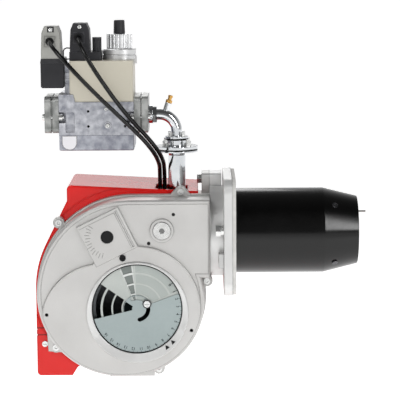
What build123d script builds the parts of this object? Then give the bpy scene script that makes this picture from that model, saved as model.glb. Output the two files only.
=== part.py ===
"""A forced-draught gas burner with its multi-function gas valve, as separate pieces.

Millimetres. +X runs along the blast tube towards the flame, +Z is up, and the air intake faces -Y.
The origin is the centre of the mounting flange's front face, on the axis of the blast tube.
"""

from build123d import *
from math import asin, cos, degrees, pi, radians, sin, sqrt, tan
import os

os.makedirs("parts", exist_ok=True)

# ---- Clearances -------------------------------------------------------------------------------
shaft_fit = 0.05       # radial, a shaft in its bearing or hub
slip_fit = 0.2         # radial, a fixed piece in its hole
running_gap = 0.4      # between pieces that move past each other

# ---- Blast tube and mounting flange, on the X axis --------------------------------------------
tube_radius = 60.0
tube_wall = 2.5
cone_start = 129.0
tube_end = 177.0
mouth_radius = 48.0
flange_side = 164.0
flange_corner = 19.0
flange_thick = 12.0
bolt_pitch = 132.0
bolt_hole_radius = 5.5
gasket_thick = 5.0
gasket_margin = 1.5
neck_radius = 64.0
neck_length = 19.0
outlet_x = -flange_thick - neck_length
tube_seat = 4.0        # how far the tube stands into the neck
seat_radius = tube_radius - 1.5   # its turned-down end, held by the neck and the flange
seat_clear = 0.3       # the turned-down end reaches this far past the gasket
throat_radius = 45.0

# ---- Fan housing: a scroll drawn round the fan axis, which runs along Y ------------------------
scroll_z = -78.0       # height of the centres of both left-hand arcs
over_x = -140.2        # centre of the large upper arc
over_radius = 134.0
under_radius = 118.6
corner_radius = 110.0  # the lower right arc
corner_across = 9.0    # its centre, measured from the centre of the lower left arc
under_x = over_x - over_radius + under_radius
corner_x = under_x + corner_across
corner_z = scroll_z - under_radius + corner_radius
casing_top = scroll_z + over_radius
fan_across = 23.0      # the fan axis, measured from the centre of the lower left arc
fan_drop = 20.0
fan_x = under_x + fan_across
fan_z = scroll_z - fan_drop
outlet_low = -58.0     # underside of the outlet
joint_y = -24.0        # where the two housing halves meet
rim_thick = 6.0
rim_inset = 2.5        # the front shell stands this far inside its rim
rear_inset = 6.0
wall = 4.0
face_y = -71.0         # upper front face
bowl_height = 4.0      # the bowl round the intake stands this far proud of it
rear_y = 59.0
edge_round = 4.0
lug_radius = 8.0
lug_screw_radius = 2.5

# ---- Air intake --------------------------------------------------------------------------------
intake_radius = 64.0
intake_bevel = 5.5
bowl_radius = 88.0
grille_rim = 4.7       # how far the grille reaches past the intake, behind the wall
grille_thick = 4.0
disc_thick = 1.4
hub_radius = 19.0
slot_radius = 15.4
slot_width = 5.7
lock_angle = 27.0
lock_radius = 2.4

# ---- Fan and motor -----------------------------------------------------------------------------
wheel_radius = 72.0
wheel_eye = 58.0
wheel_front = -61.0
wheel_back = -4.0
wheel_plate = 2.5
blade_count = 30
blade_sweep = 10.0     # degrees that a blade leans forward
blade_angle = 1.3      # its thickness, in degrees at the wheel's rim
shaft_radius = 5.0
motor_radius = 44.0
motor_length = 66.0
motor_cap_length = 14.0

# ---- Hood --------------------------------------------------------------------------------------
hood_front = joint_y + rim_thick
hood_back = 115.0
hood_wall = 2.5
hood_left = under_x - under_radius + 42.7     # upper left side
hood_top = casing_top + 12.5
hood_top_right = casing_top + 2.5
hood_right = outlet_x - 16.0
hood_bottom = scroll_z - under_radius - 8.0
hood_grow = 3.3        # how far the hood stands outside the scroll on the left
hood_tuck = 3.0        # how far it hides inside the scroll on the right

# ---- Gas line ----------------------------------------------------------------------------------
riser_x = -76.9
gas_y = 14.0
riser_radius = 12.3
pipe_bore = 8.0
boss_radius = 15.0
boss_top = casing_top
dish_z = boss_top + 53.0
dish_radius = 30.0
dish_thick = 5.0
seal_thick = 2.0
union_thick = 4.0
union_radius = 14.0
union_height = 8.4
small_seal_radius = 16.5
small_seal_thick = 2.3
valve_z = dish_z + 55.5
plate_thick = 2.9
elbow_radius = 8.0
elbow_bore = 6.0
elbow_bend = 24.0

# ---- Gas valve ---------------------------------------------------------------------------------
valve_left = -240.0
valve_right = -135.7
valve_front = -28.0
valve_depth = 84.0
valve_low = valve_z - 25.1
valve_high = valve_z + 21.5
step_high = valve_high + 10.7      # raised left end of the block
cover_low = valve_low - 21.4
inlet_length = 20.0
outlet_length = 19.8
port_radius = 9.3
coil_left = valve_left + 15.5
coil_right = valve_right - 0.2
coil_top = valve_high + 57.0
regulator_x = coil_right - 20.2
connector_width = 28.0


def facing(y):
    """A plane across the fan axis: x is +X, y is +Z, and its normal points out of the intake."""
    return Plane.XZ.offset(-y)


def across(x):
    """A plane across the blast tube: x is +Y, y is +Z."""
    return Plane.YZ.offset(x)


def level(z):
    """A horizontal plane."""
    return Plane.XY.offset(z)


def upright(x, y):
    """A plane through a vertical spindle at x, y: its own x is the radius, its y is +Z."""
    return Plane(origin=(x, y, 0), x_dir=(1, 0, 0), z_dir=(0, -1, 0))


bowl_y = face_y - bowl_height
cavity_y = face_y + wall


def scroll_outline(grow, end=outlet_x):
    """The fan scroll, grown or shrunk all round, with its outlet cut off square at x = end."""
    corner = corner_radius + grow
    bottom = corner_z - corner
    low = outlet_low - grow
    rise = asin((low - corner_z) / corner)
    top = casing_top + grow
    with BuildSketch(Plane.XY) as outline:
        with BuildLine():
            CenterArc((over_x, scroll_z), over_radius + grow, 90, 90)
            CenterArc((under_x, scroll_z), under_radius + grow, 180, 90)
            Line((under_x, bottom), (corner_x, bottom))
            CenterArc((corner_x, corner_z), corner, 270, 90 + degrees(rise))
            Polyline((corner_x + corner * cos(rise), low), (end, low), (end, top), (over_x, top))
        make_face()
    return outline.sketch


def ring_sector(inner, outer, start, span):
    """Part of a ring about the fan axis, in a plane across it; angles in degrees from +X."""
    with BuildSketch(Plane.XY) as sector:
        with BuildLine():
            CenterArc((fan_x, fan_z), outer, start, span)
            CenterArc((fan_x, fan_z), inner, start, span)
            for turn in (radians(start), radians(start + span)):
                Line(
                    (fan_x + inner * cos(turn), fan_z + inner * sin(turn)),
                    (fan_x + outer * cos(turn), fan_z + outer * sin(turn)),
                )
        make_face()
    return sector.sketch


# ---- Screw lugs of the housing, shared by both halves ------------------------------------------
lug_out = 4.9          # how far a lug's screw lies outside the scroll


def scroll_spot(centre_x, radius, turn):
    """A point at a radius and an angle in degrees about the centre of one of the scroll's arcs."""
    return (centre_x + radius * cos(radians(turn)), scroll_z + radius * sin(radians(turn)))


lugs = [
    scroll_spot(over_x, over_radius + lug_out + 0.8, 137.2),
    (outlet_x - 40.6, casing_top + lug_out - 1.4),
    (corner_x + corner_radius + 1.1, outlet_low - 9.0),
    (corner_x + 42.6, corner_z - corner_radius + 4.1),
    scroll_spot(under_x, under_radius + lug_out + 1.7, 221.5),
]
foot_left = under_x - 18.4
foot_right = under_x + 48.6
foot_low = scroll_z - under_radius


def lug_outline():
    """Ears for the housing screws, the corner ear at the lower left and the flat foot, with holes."""
    with BuildSketch(Plane.XY) as ears:
        with Locations(*lugs):
            Circle(lug_radius)
        top_x, top_z = lugs[1]
        with BuildLine():
            Polyline(
                (top_x - 2 * lug_radius, casing_top - rim_inset),
                (top_x - lug_radius / 2, top_z + lug_radius - 1),
                (top_x + lug_radius / 2, top_z + lug_radius - 1),
                (top_x + 2 * lug_radius, casing_top - rim_inset),
                close=True,
            )
        make_face()
        corner_x, corner_z = lugs[4]
        with BuildLine():
            Polyline(
                (corner_x - 13, corner_z + 27),
                (corner_x - 11, corner_z - 6),
                (corner_x + 12, corner_z - 8),
                (corner_x + 30, corner_z + 27),
                close=True,
            )
        make_face()
        with Locations(((foot_left + foot_right) / 2, foot_low + lug_radius)):
            Rectangle(foot_right - foot_left, 2 * lug_radius)
        with Locations(*lugs):
            Circle(lug_screw_radius + slip_fit / 2, mode=Mode.SUBTRACT)
    return ears.sketch


# ---- Front housing -----------------------------------------------------------------------------
servo_boss = (under_x - 17.2, casing_top - 52.6)
servo_boss_size = (64.0, 61.5)
servo_boss_turn = 26.1
servo_boss_height = 1.0
servo_plug_radius = 8.8
port_boss = (under_x + 58.2, casing_top - 44.7)
port_boss_radius = 16.5
port_plug_radius = 12.5
port_boss_height = 3.0
pocket_depth = 3.0
tap_spot = (fan_x - 19.2, fan_z + 72.0)
tap_radius = 4.4
blind_holes = [
    (under_x + 74.3, casing_top - 22.4),
    (fan_x + 16.9, fan_z + 91.6),
    (fan_x - 125.4, fan_z - 7.2),
    (fan_x + 75.1, fan_z - 30.5),
]
field_left = fan_x - 130.4      # the raised field beside the bowl
field_right = fan_x + 72.6
field_low = fan_z - 107.0
blind_radius = 2.2

with BuildPart() as front_housing:
    with BuildSketch(facing(joint_y)):
        add(scroll_outline(0))
        add(lug_outline())
    extrude(amount=rim_thick)
    with BuildSketch(facing(joint_y - rim_thick)):
        add(scroll_outline(-rim_inset))
        with Locations(((foot_left + foot_right) / 2, foot_low + lug_radius + rim_inset)):
            Rectangle(foot_right - foot_left - 2 * rim_inset, 2 * lug_radius)
    extrude(amount=joint_y - rim_thick - face_y)
    front_face = front_housing.faces().sort_by(Axis.Y)[0]
    chamfer(front_face.outer_wire().edges(), length=edge_round / 2)
    # The bowl round the intake runs out to the lower left in one raised field.
    with BuildSketch(facing(face_y)):
        with Locations((fan_x, fan_z)):
            Circle(bowl_radius)
        with BuildLine():
            ThreePointArc(
                (fan_x - 60.4, fan_z + 63.0), (fan_x - 103.4, fan_z + 44.0), (field_left, fan_z + 3.0)
            )
            Polyline(
                (field_left, fan_z + 3.0),
                (field_left, field_low),
                (field_right, field_low),
                (field_right, fan_z),
                (fan_x + 1.6, fan_z + 86.0),
                (fan_x - 60.4, fan_z + 63.0),
            )
        make_face()
        add(scroll_outline(-rim_inset - edge_round), mode=Mode.INTERSECT)
    extrude(amount=bowl_height)
    with BuildSketch(facing(face_y)):
        with Locations(Location((*servo_boss, 0), (0, 0, servo_boss_turn))):
            Rectangle(*servo_boss_size)
    extrude(amount=bowl_height + servo_boss_height)
    with BuildSketch(facing(face_y)):
        with Locations(port_boss):
            Circle(port_boss_radius)
    extrude(amount=port_boss_height)
    # Fan chamber and outlet.
    with BuildSketch(facing(joint_y)):
        add(scroll_outline(-rim_inset - wall, end=outlet_x - wall))
    extrude(amount=joint_y - cavity_y, mode=Mode.SUBTRACT)
    with BuildSketch(across(outlet_x)):
        Circle(throat_radius)
    extrude(amount=-wall - 1, mode=Mode.SUBTRACT)
    # Intake: the seat of the grille inside, the opening, and the bevel outside.
    with BuildSketch(facing(cavity_y)):
        with Locations((fan_x, fan_z)):
            Circle(intake_radius + grille_rim + slip_fit)
    extrude(amount=grille_thick, mode=Mode.SUBTRACT)
    with BuildSketch(facing(cavity_y)):
        with Locations((fan_x, fan_z)):
            Circle(intake_radius)
    extrude(amount=cavity_y - bowl_y, mode=Mode.SUBTRACT)
    intake_edge = (
        front_housing.edges()
        .filter_by(GeomType.CIRCLE)
        .filter_by(lambda e: abs(e.radius - intake_radius) < 0.01)
        .sort_by(Axis.Y)[0]
    )
    chamfer(intake_edge, length=intake_bevel / 2)
    # Pockets for the plugs, the tap and the blind holes.
    with BuildSketch(facing(bowl_y - servo_boss_height)):
        with Locations(servo_boss):
            Circle(servo_plug_radius)
    extrude(amount=-pocket_depth, mode=Mode.SUBTRACT)
    with BuildSketch(facing(bowl_y - servo_boss_height)):
        with Locations(Location((*servo_boss, 0), (0, 0, servo_boss_turn))):
            with Locations((servo_boss_size[0] / 2 - 5, 0)):
                Rectangle(2.4, servo_boss_size[1] - 6)
    extrude(amount=-1.2, mode=Mode.SUBTRACT)
    with BuildSketch(facing(face_y - port_boss_height)):
        with Locations(port_boss):
            Circle(port_plug_radius + slip_fit)
    extrude(amount=-pocket_depth, mode=Mode.SUBTRACT)
    with BuildSketch(facing(bowl_y - 2)):
        with Locations(*blind_holes):
            Circle(blind_radius)
    extrude(amount=-(2 + bowl_height + 1.6), mode=Mode.SUBTRACT)
front_housing.part.label = "front_housing"
export_step(front_housing.part, "parts/front_housing.step")

# ---- Rear housing ------------------------------------------------------------------------------
rim_back = joint_y + rim_thick
hinge_y = 26.5
hinge_z = 71.0
hinge_width = 47.0
hinge_low = 38.0
hinge_high = 81.0
hinge_left = -42.0
hinge_right = -14.0
hinge_bolt_radius = 4.0
shaft_hole_radius = 20.0

with BuildPart() as rear_housing:
    with BuildSketch(facing(rim_back)):
        add(scroll_outline(0))
        add(lug_outline())
    extrude(amount=rim_thick)
    with BuildSketch(facing(rear_y)):
        add(scroll_outline(-rear_inset))
    extrude(amount=rear_y - rim_back)
    with BuildSketch(across(hinge_left)):
        with Locations((hinge_y, (hinge_low + hinge_high) / 2)):
            RectangleRounded(hinge_width, hinge_high - hinge_low, 4)
    extrude(amount=outlet_x - hinge_left)
    with BuildSketch(level(boss_top)):
        with Locations((riser_x, gas_y)):
            Circle(boss_radius)
    extrude(amount=-boss_radius)
    with BuildSketch(facing(rear_y - wall)):
        add(scroll_outline(-rear_inset - wall, end=outlet_x - wall))
    extrude(amount=rear_y - wall - joint_y, mode=Mode.SUBTRACT)
    with BuildSketch(across(outlet_x)):
        Circle(throat_radius)
    extrude(amount=hinge_left - outlet_x, mode=Mode.SUBTRACT)
    with BuildSketch(across(outlet_x)):
        with Locations((hinge_y, hinge_z)):
            Circle(hinge_bolt_radius + slip_fit)
    extrude(amount=hinge_left - outlet_x, mode=Mode.SUBTRACT)
    with BuildSketch(level(boss_top)):
        with Locations((riser_x, gas_y)):
            Circle(pipe_bore + slip_fit)
    extrude(amount=-2 * boss_radius, mode=Mode.SUBTRACT)
    with BuildSketch(facing(rear_y)):
        with Locations((fan_x, fan_z)):
            Circle(shaft_hole_radius)
    extrude(amount=wall, mode=Mode.SUBTRACT)
rear_housing.part.label = "rear_housing"
export_step(rear_housing.part, "parts/rear_housing.step")

# ---- Housing screws ----------------------------------------------------------------------------
screw_head_radius = 4.7
screw_head_height = 3.5
with BuildPart() as housing_screws:
    with BuildSketch(facing(joint_y - rim_thick)):
        with Locations(*lugs):
            Circle(screw_head_radius)
    extrude(amount=screw_head_height)
    with BuildSketch(facing(joint_y - rim_thick - screw_head_height)):
        with Locations(*lugs):
            RegularPolygon(2.2, 6)
    extrude(amount=-1.8, mode=Mode.SUBTRACT)
    with BuildSketch(facing(rim_back)):
        with Locations(*lugs):
            Circle(lug_screw_radius)
    extrude(amount=2 * rim_thick)
housing_screws.part.label = "housing_screws"
export_step(housing_screws.part, "parts/housing_screws.step")

# ---- Plugs in the front face -------------------------------------------------------------------
with BuildPart() as servo_opening_plug:
    with BuildSketch(facing(bowl_y - servo_boss_height + pocket_depth)):
        with Locations(servo_boss):
            Circle(servo_plug_radius - slip_fit)
    extrude(amount=pocket_depth + 0.6)
    chamfer(servo_opening_plug.faces().sort_by(Axis.Y)[0].edges(), length=0.5)
servo_opening_plug.part.label = "servo_opening_plug"
export_step(servo_opening_plug.part, "parts/servo_opening_plug.step")

with BuildPart() as port_plug:
    with BuildSketch(facing(face_y - port_boss_height + pocket_depth)):
        with Locations(port_boss):
            Circle(port_plug_radius)
    extrude(amount=pocket_depth + 1.0)
    plug_front = face_y - port_boss_height - 1.0
    chamfer(port_plug.faces().sort_by(Axis.Y)[0].edges(), length=0.7)
    with BuildSketch(facing(plug_front)):
        with Locations(port_boss):
            RegularPolygon(4.2, 6)
    extrude(amount=-1.8, mode=Mode.SUBTRACT)
port_plug.part.label = "port_plug"
export_step(port_plug.part, "parts/port_plug.step")

with BuildPart() as tap_screw:
    with BuildSketch(facing(bowl_y)):
        with Locations(tap_spot):
            Circle(tap_radius)
    extrude(amount=2.6)
    with BuildSketch(facing(bowl_y - 2.6)):
        with Locations(tap_spot):
            Rectangle(1.2, 1.6 * tap_radius)
            Rectangle(1.6 * tap_radius, 1.2)
    extrude(amount=-1.2, mode=Mode.SUBTRACT)
tap_screw.part.label = "tap_screw"
export_step(tap_screw.part, "parts/tap_screw.step")

# ---- Intake grille: a fixed plate with ring-shaped windows -------------------------------------
window_rings = [(21.8, 33.7), (36.0, 48.0), (51.0, 62.0)]
inner_window = (8.0, 19.7)
window_start = 145.0
window_end = 290.0
inner_window_end = 370.0
ladder_start = 96.0
ladder_span = 17.0
ladder_depth = 1.6
grille_front = cavity_y - grille_thick
lock_spot = (fan_x + slot_radius * cos(radians(lock_angle)), fan_z + slot_radius * sin(radians(lock_angle)))

with BuildPart() as inlet_grille:
    with BuildSketch(facing(cavity_y)):
        with Locations((fan_x, fan_z)):
            Circle(intake_radius + grille_rim)
    extrude(amount=grille_thick)
    with BuildSketch(facing(cavity_y)):
        for inner, outer in window_rings:
            add(ring_sector(inner, outer, window_start, window_end - window_start))
        add(ring_sector(*inner_window, window_start, inner_window_end - window_start))
        with Locations(lock_spot):
            Circle(lock_radius + slip_fit / 2)
    extrude(amount=grille_thick, mode=Mode.SUBTRACT)
    with BuildSketch(facing(grille_front)):
        for inner, outer in window_rings:
            add(ring_sector(inner, outer, ladder_start, ladder_span))
    extrude(amount=-ladder_depth, mode=Mode.SUBTRACT)
inlet_grille.part.label = "inlet_grille"
export_step(inlet_grille.part, "parts/inlet_grille.step")

# ---- Air damper: a disc with a cut-away sector, turned by hand and locked by a screw -----------
disc_start = 193.5
disc_span = 186.5
slot_start = -78.0
slot_span = 193.0
disc_back = grille_front - running_gap
disc_front = disc_back - disc_thick

with BuildPart() as damper_disc:
    with BuildSketch(facing(disc_back)):
        with Locations((fan_x, fan_z)):
            Circle(hub_radius)
        add(ring_sector(hub_radius - 2, intake_radius - running_gap, disc_start, disc_span))
        with BuildLine(mode=Mode.PRIVATE) as slot_line:
            CenterArc((fan_x, fan_z), slot_radius, slot_start, slot_span)
        SlotArc(slot_line.edges()[0], slot_width, mode=Mode.SUBTRACT)
    extrude(amount=disc_thick)
damper_disc.part.label = "damper_disc"
export_step(damper_disc.part, "parts/damper_disc.step")

lock_washer_radius = 6.2
lock_washer_thick = 0.7
lock_head_radius = 4.5
lock_head_height = 2.2
with BuildPart() as damper_lock_screw:
    with BuildSketch(facing(cavity_y)):
        with Locations(lock_spot):
            Circle(lock_radius)
    extrude(amount=cavity_y - disc_front + running_gap)
    with BuildSketch(facing(disc_front - running_gap)):
        with Locations(lock_spot):
            Circle(lock_washer_radius)
    extrude(amount=lock_washer_thick)
    with BuildSketch(facing(disc_front - running_gap - lock_washer_thick)):
        with Locations(lock_spot):
            Circle(lock_head_radius)
    extrude(amount=lock_head_height)
    with BuildSketch(facing(disc_front - running_gap - lock_washer_thick - lock_head_height)):
        with Locations(lock_spot):
            Rectangle(1.2, 1.5 * lock_head_radius)
            Rectangle(1.5 * lock_head_radius, 1.2)
    extrude(amount=-1.2, mode=Mode.SUBTRACT)
damper_lock_screw.part.label = "damper_lock_screw"
export_step(damper_lock_screw.part, "parts/damper_lock_screw.step")

# ---- Fan wheel: forward-curved blades between a back plate and a front ring --------------------
hub_boss_radius = 14.0
hub_boss_length = 18.0
ring_thick = 2.0


def wheel_point(radius, turn):
    """A point of the fan wheel at a radius and an angle in degrees from +X, about its axis."""
    return (fan_x + radius * cos(radians(turn)), fan_z + radius * sin(radians(turn)))


def blade(turn):
    """One blade: a thin curved strip that leans forward, the way the wheel turns."""
    tip = wheel_radius - 0.5
    middle = (wheel_eye + tip) / 2
    with BuildSketch(Plane.XY) as strip:
        with BuildLine():
            for side in (turn, turn + blade_angle):
                ThreePointArc(
                    wheel_point(wheel_eye, side),
                    wheel_point(middle, side - blade_sweep / 4),
                    wheel_point(tip, side - blade_sweep),
                )
            Line(wheel_point(wheel_eye, turn), wheel_point(wheel_eye, turn + blade_angle))
            Line(wheel_point(tip, turn - blade_sweep), wheel_point(tip, turn + blade_angle - blade_sweep))
        make_face()
    return strip.sketch


with BuildPart() as impeller:
    with BuildSketch(facing(wheel_back)):
        with Locations((fan_x, fan_z)):
            Circle(wheel_radius)
    extrude(amount=wheel_plate)
    with BuildSketch(facing(wheel_back - wheel_plate)):
        for count in range(blade_count):
            add(blade(count * 360 / blade_count))
    extrude(amount=wheel_back - wheel_plate - wheel_front)
    with BuildSketch(facing(wheel_front)):
        with Locations((fan_x, fan_z)):
            Circle(wheel_radius)
            Circle(wheel_eye, mode=Mode.SUBTRACT)
    extrude(amount=ring_thick)
    with BuildSketch(facing(wheel_back)):
        with Locations((fan_x, fan_z)):
            Circle(hub_boss_radius)
    extrude(amount=hub_boss_length)
    with BuildSketch(facing(wheel_back)):
        with Locations((fan_x, fan_z)):
            Circle(shaft_radius + shaft_fit)
    extrude(amount=hub_boss_length, mode=Mode.SUBTRACT)
impeller.part.label = "impeller"
export_step(impeller.part, "parts/impeller.step")

# ---- Motor -------------------------------------------------------------------------------------
motor_back = rear_y + motor_length
shaft_front = wheel_back - hub_boss_length - 2.0
shaft_back = motor_back - 12.0
motor_foot_radius = 48.0
motor_foot_thick = 4.0
fin_count = 24
fin_depth = 2.0

with BuildPart() as motor_shaft:
    with BuildSketch(facing(shaft_back)):
        with Locations((fan_x, fan_z)):
            Circle(shaft_radius)
    extrude(amount=shaft_back - shaft_front)
    chamfer(motor_shaft.edges().filter_by(GeomType.CIRCLE), length=0.6)
motor_shaft.part.label = "motor_shaft"
export_step(motor_shaft.part, "parts/motor_shaft.step")

with BuildPart() as motor_body:
    with BuildSketch(facing(motor_back)):
        with Locations((fan_x, fan_z)):
            Circle(motor_radius)
            with PolarLocations(motor_radius, fin_count):
                Rectangle(2 * fin_depth, 3.5, mode=Mode.SUBTRACT)
    extrude(amount=motor_length)
    with BuildSketch(facing(rear_y + motor_foot_thick)):
        with Locations((fan_x, fan_z)):
            Circle(motor_foot_radius)
    extrude(amount=motor_foot_thick)
    with BuildSketch(facing(rear_y)):
        with Locations((fan_x, fan_z)):
            Circle(shaft_radius + shaft_fit)
    extrude(amount=rear_y - shaft_back - 2.0, mode=Mode.SUBTRACT)
motor_body.part.label = "motor_body"
export_step(motor_body.part, "parts/motor_body.step")

with BuildPart() as motor_end_cap:
    with BuildSketch(facing(motor_back + motor_cap_length)):
        with Locations((fan_x, fan_z)):
            Circle(motor_radius)
    extrude(amount=motor_cap_length)
    chamfer(motor_end_cap.faces().sort_by(Axis.Y)[-1].edges(), length=3)
    with BuildSketch(facing(motor_back + motor_cap_length)):
        with Locations((fan_x, fan_z)):
            for ring in range(3):
                with PolarLocations(14 + 9 * ring, 8 + 4 * ring):
                    Rectangle(3.0, 4.5)
    extrude(amount=5, mode=Mode.SUBTRACT)
motor_end_cap.part.label = "motor_end_cap"
export_step(motor_end_cap.part, "parts/motor_end_cap.step")

# ---- Hood --------------------------------------------------------------------------------------
hood_lean = 153.4      # degrees, where the slanted left side leaves the arc
hood_corner = 6.0
tuck_low_x = under_x - 49.4
foot_tip = (under_x - 64.4, hood_bottom + 12.0)
foot_bottom_x = under_x - 71.9
hood_notch = (-107.0, -62.0)
hood_notch_y = (-10.0, 43.0)
arch_grow = 9.0
arch_depth = 0.8
motor_opening = motor_foot_radius + 1.5
vent_width = 3.5


def hood_outline(inset):
    """The hood from the front: boxy at the top and lower left, following the scroll between."""
    arc_radius = over_radius + hood_grow - inset
    lean = radians(hood_lean)
    lean_x = over_x + arc_radius * cos(lean)
    lean_z = scroll_z + arc_radius * sin(lean)
    left = hood_left + inset
    shoulder_z = lean_z + (left - lean_x) * tan(lean - radians(90))
    half_way = (lean + radians(180)) / 2
    low_left = over_x - arc_radius
    tuck = under_radius - hood_tuck - inset
    right = hood_right - inset
    tuck_low_z = scroll_z - sqrt(tuck**2 - (tuck_low_x - under_x) ** 2)
    tuck_high_z = scroll_z + sqrt(tuck**2 - (right - under_x) ** 2)
    with BuildSketch(Plane.XY) as outline:
        with BuildLine():
            Polyline(
                (right, tuck_high_z),
                (right, hood_top_right - inset),
                (left, hood_top - inset),
                (left, shoulder_z),
                (lean_x, lean_z),
            )
            ThreePointArc(
                (lean_x, lean_z),
                (over_x + arc_radius * cos(half_way), scroll_z + arc_radius * sin(half_way)),
                (low_left, scroll_z),
            )
            Polyline(
                (low_left, scroll_z),
                (low_left, hood_bottom + inset),
                (foot_bottom_x - inset / 2, hood_bottom + inset),
                (foot_tip[0] - inset, foot_tip[1] + inset / 2),
                (tuck_low_x, tuck_low_z),
            )
            ThreePointArc(
                (tuck_low_x, tuck_low_z),
                (under_x + tuck * cos(radians(-50)), scroll_z + tuck * sin(radians(-50))),
                (right, tuck_high_z),
            )
        make_face()
        top_left = outline.vertices().sort_by_distance((left, hood_top - inset))[0]
        bottom_left = outline.vertices().sort_by_distance((low_left, hood_bottom + inset))[0]
        fillet([top_left, bottom_left], radius=hood_corner - inset)
    return outline.sketch


with BuildPart() as hood:
    with BuildSketch(facing(hood_back)):
        add(hood_outline(0))
    extrude(amount=hood_back - hood_front)
    chamfer(hood.faces().sort_by(Axis.Y)[-1].outer_wire().edges(), length=2)
    with BuildSketch(facing(hood_back - hood_wall)):
        add(hood_outline(hood_wall))
    extrude(amount=hood_back - hood_front - 2 * hood_wall, mode=Mode.SUBTRACT)
    with BuildSketch(facing(rear_y + running_gap)):
        add(scroll_outline(-rear_inset + running_gap))
    extrude(amount=rear_y + running_gap - hood_front, mode=Mode.SUBTRACT)
    with BuildSketch(facing(hood_front)):
        add(scroll_outline(arch_grow))
    extrude(amount=-arch_depth, mode=Mode.SUBTRACT)
    with BuildSketch(level(hood_top + 1)):
        with Locations((sum(hood_notch) / 2, sum(hood_notch_y) / 2)):
            Rectangle(hood_notch[1] - hood_notch[0], hood_notch_y[1] - hood_notch_y[0])
    extrude(amount=boss_top + 0.4 - hood_top - 1, mode=Mode.SUBTRACT)
    with BuildSketch(facing(hood_back)):
        with Locations((fan_x, fan_z)):
            Circle(motor_opening)
        with Locations((fan_x, 18)):
            with GridLocations(0, 9, 1, 6):
                SlotOverall(90, vent_width)
    extrude(amount=hood_wall, mode=Mode.SUBTRACT)
    # Two grip ribs, pressed in across the lower left side.
    with BuildSketch(across(over_x - over_radius - hood_grow)):
        with Locations((hood_front + 24, -138), (hood_front + 24, -146)):
            Rectangle(48, 2.4)
    extrude(amount=1.0, mode=Mode.SUBTRACT)
hood.part.label = "hood"
export_step(hood.part, "parts/hood.step")

hood_screw_x = under_x - 110.4
hood_screw_spots = [(hood_screw_x, scroll_z - 80.5)]
hood_back_screws = [
    (hood_left + 9.5, hood_top - 10.5),
    (hood_right - 13.0, hood_top_right - 8.5),
    (hood_screw_x, hood_bottom + 13.0),
]
with BuildPart() as hood_screws:
    with BuildSketch(facing(hood_front)):
        with Locations(*hood_screw_spots):
            Circle(4.2)
    extrude(amount=2.6)
    with BuildSketch(facing(hood_front - 2.6)):
        with Locations(*hood_screw_spots):
            Rectangle(6, 1.2)
    extrude(amount=-1.2, mode=Mode.SUBTRACT)
    with BuildSketch(facing(hood_back + 2.6)):
        with Locations(*hood_back_screws):
            Circle(4.2)
    extrude(amount=2.6)
    with BuildSketch(facing(hood_back + 2.6)):
        with Locations(*hood_back_screws):
            Rectangle(6, 1.2)
    extrude(amount=1.2, mode=Mode.SUBTRACT)
hood_screws.part.label = "hood_screws"
export_step(hood_screws.part, "parts/hood_screws.step")

# ---- Neck between the fan housing and the mounting flange --------------------------------------
neck_start = outlet_x
clamp_spots = [(-73.0, 11.0), (73.0, -11.0)]
clamp_flats = 15.0
clamp_head = 7.0
clamp_collar = 4.0
clamp_radius = 4.0
clamp_thread = 9.0
side_lug = (-62.0, -32.0)

with BuildPart() as flange_neck:
    with BuildSketch(across(neck_start)):
        Circle(neck_radius)
    extrude(amount=neck_length)
    with BuildSketch(across(neck_start)):
        with Locations((hinge_y, (hinge_low + hinge_high) / 2)):
            RectangleRounded(hinge_width, hinge_high - hinge_low, 4)
    extrude(amount=hinge_right - neck_start)
    with BuildSketch(across(-flange_thick - 7)):
        with Locations(side_lug):
            Rectangle(20, 20)
    extrude(amount=7)
    with BuildSketch(across(neck_start)):
        Circle(throat_radius)
    extrude(amount=neck_length, mode=Mode.SUBTRACT)
    with BuildSketch(across(-flange_thick)):
        Circle(seat_radius + slip_fit)
    extrude(amount=-tube_seat, mode=Mode.SUBTRACT)
    with BuildSketch(across(neck_start)):
        with Locations((hinge_y, hinge_z)):
            Circle(hinge_bolt_radius + slip_fit)
    extrude(amount=hinge_right - neck_start - 4, mode=Mode.SUBTRACT)
flange_neck.part.label = "flange_neck"
export_step(flange_neck.part, "parts/flange_neck.step")

hinge_head = 6.5
with BuildPart() as neck_hinge_bolt:
    with BuildSketch(across(hinge_left)):
        with Locations((hinge_y, hinge_z)):
            RegularPolygon(7.0, 6)
    extrude(amount=-hinge_head)
    with BuildSketch(across(hinge_left)):
        with Locations((hinge_y, hinge_z)):
            Circle(hinge_bolt_radius)
    extrude(amount=hinge_right - hinge_left - 5)
neck_hinge_bolt.part.label = "neck_hinge_bolt"
export_step(neck_hinge_bolt.part, "parts/neck_hinge_bolt.step")

with BuildPart() as mounting_flange:
    with BuildSketch(across(-flange_thick)):
        RectangleRounded(flange_side, flange_side, flange_corner)
        Circle(seat_radius + slip_fit, mode=Mode.SUBTRACT)
        with GridLocations(bolt_pitch, bolt_pitch, 2, 2):
            Circle(bolt_hole_radius, mode=Mode.SUBTRACT)
    extrude(amount=flange_thick)
    with BuildSketch(across(-flange_thick)):
        with Locations(*clamp_spots):
            Circle(clamp_radius + slip_fit)
    extrude(amount=clamp_thread, mode=Mode.SUBTRACT)
    chamfer(mounting_flange.faces().sort_by(Axis.X)[0].outer_wire().edges(), length=1)
mounting_flange.part.label = "mounting_flange"
export_step(mounting_flange.part, "parts/mounting_flange.step")

with BuildPart() as flange_gasket:
    with BuildSketch(across(0)):
        side = flange_side - 2 * gasket_margin
        RectangleRounded(side, side, flange_corner - gasket_margin)
        Circle(seat_radius + slip_fit, mode=Mode.SUBTRACT)
        with GridLocations(bolt_pitch, bolt_pitch, 2, 2):
            Circle(bolt_hole_radius, mode=Mode.SUBTRACT)
    extrude(amount=gasket_thick)
flange_gasket.part.label = "flange_gasket"
export_step(flange_gasket.part, "parts/flange_gasket.step")

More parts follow.
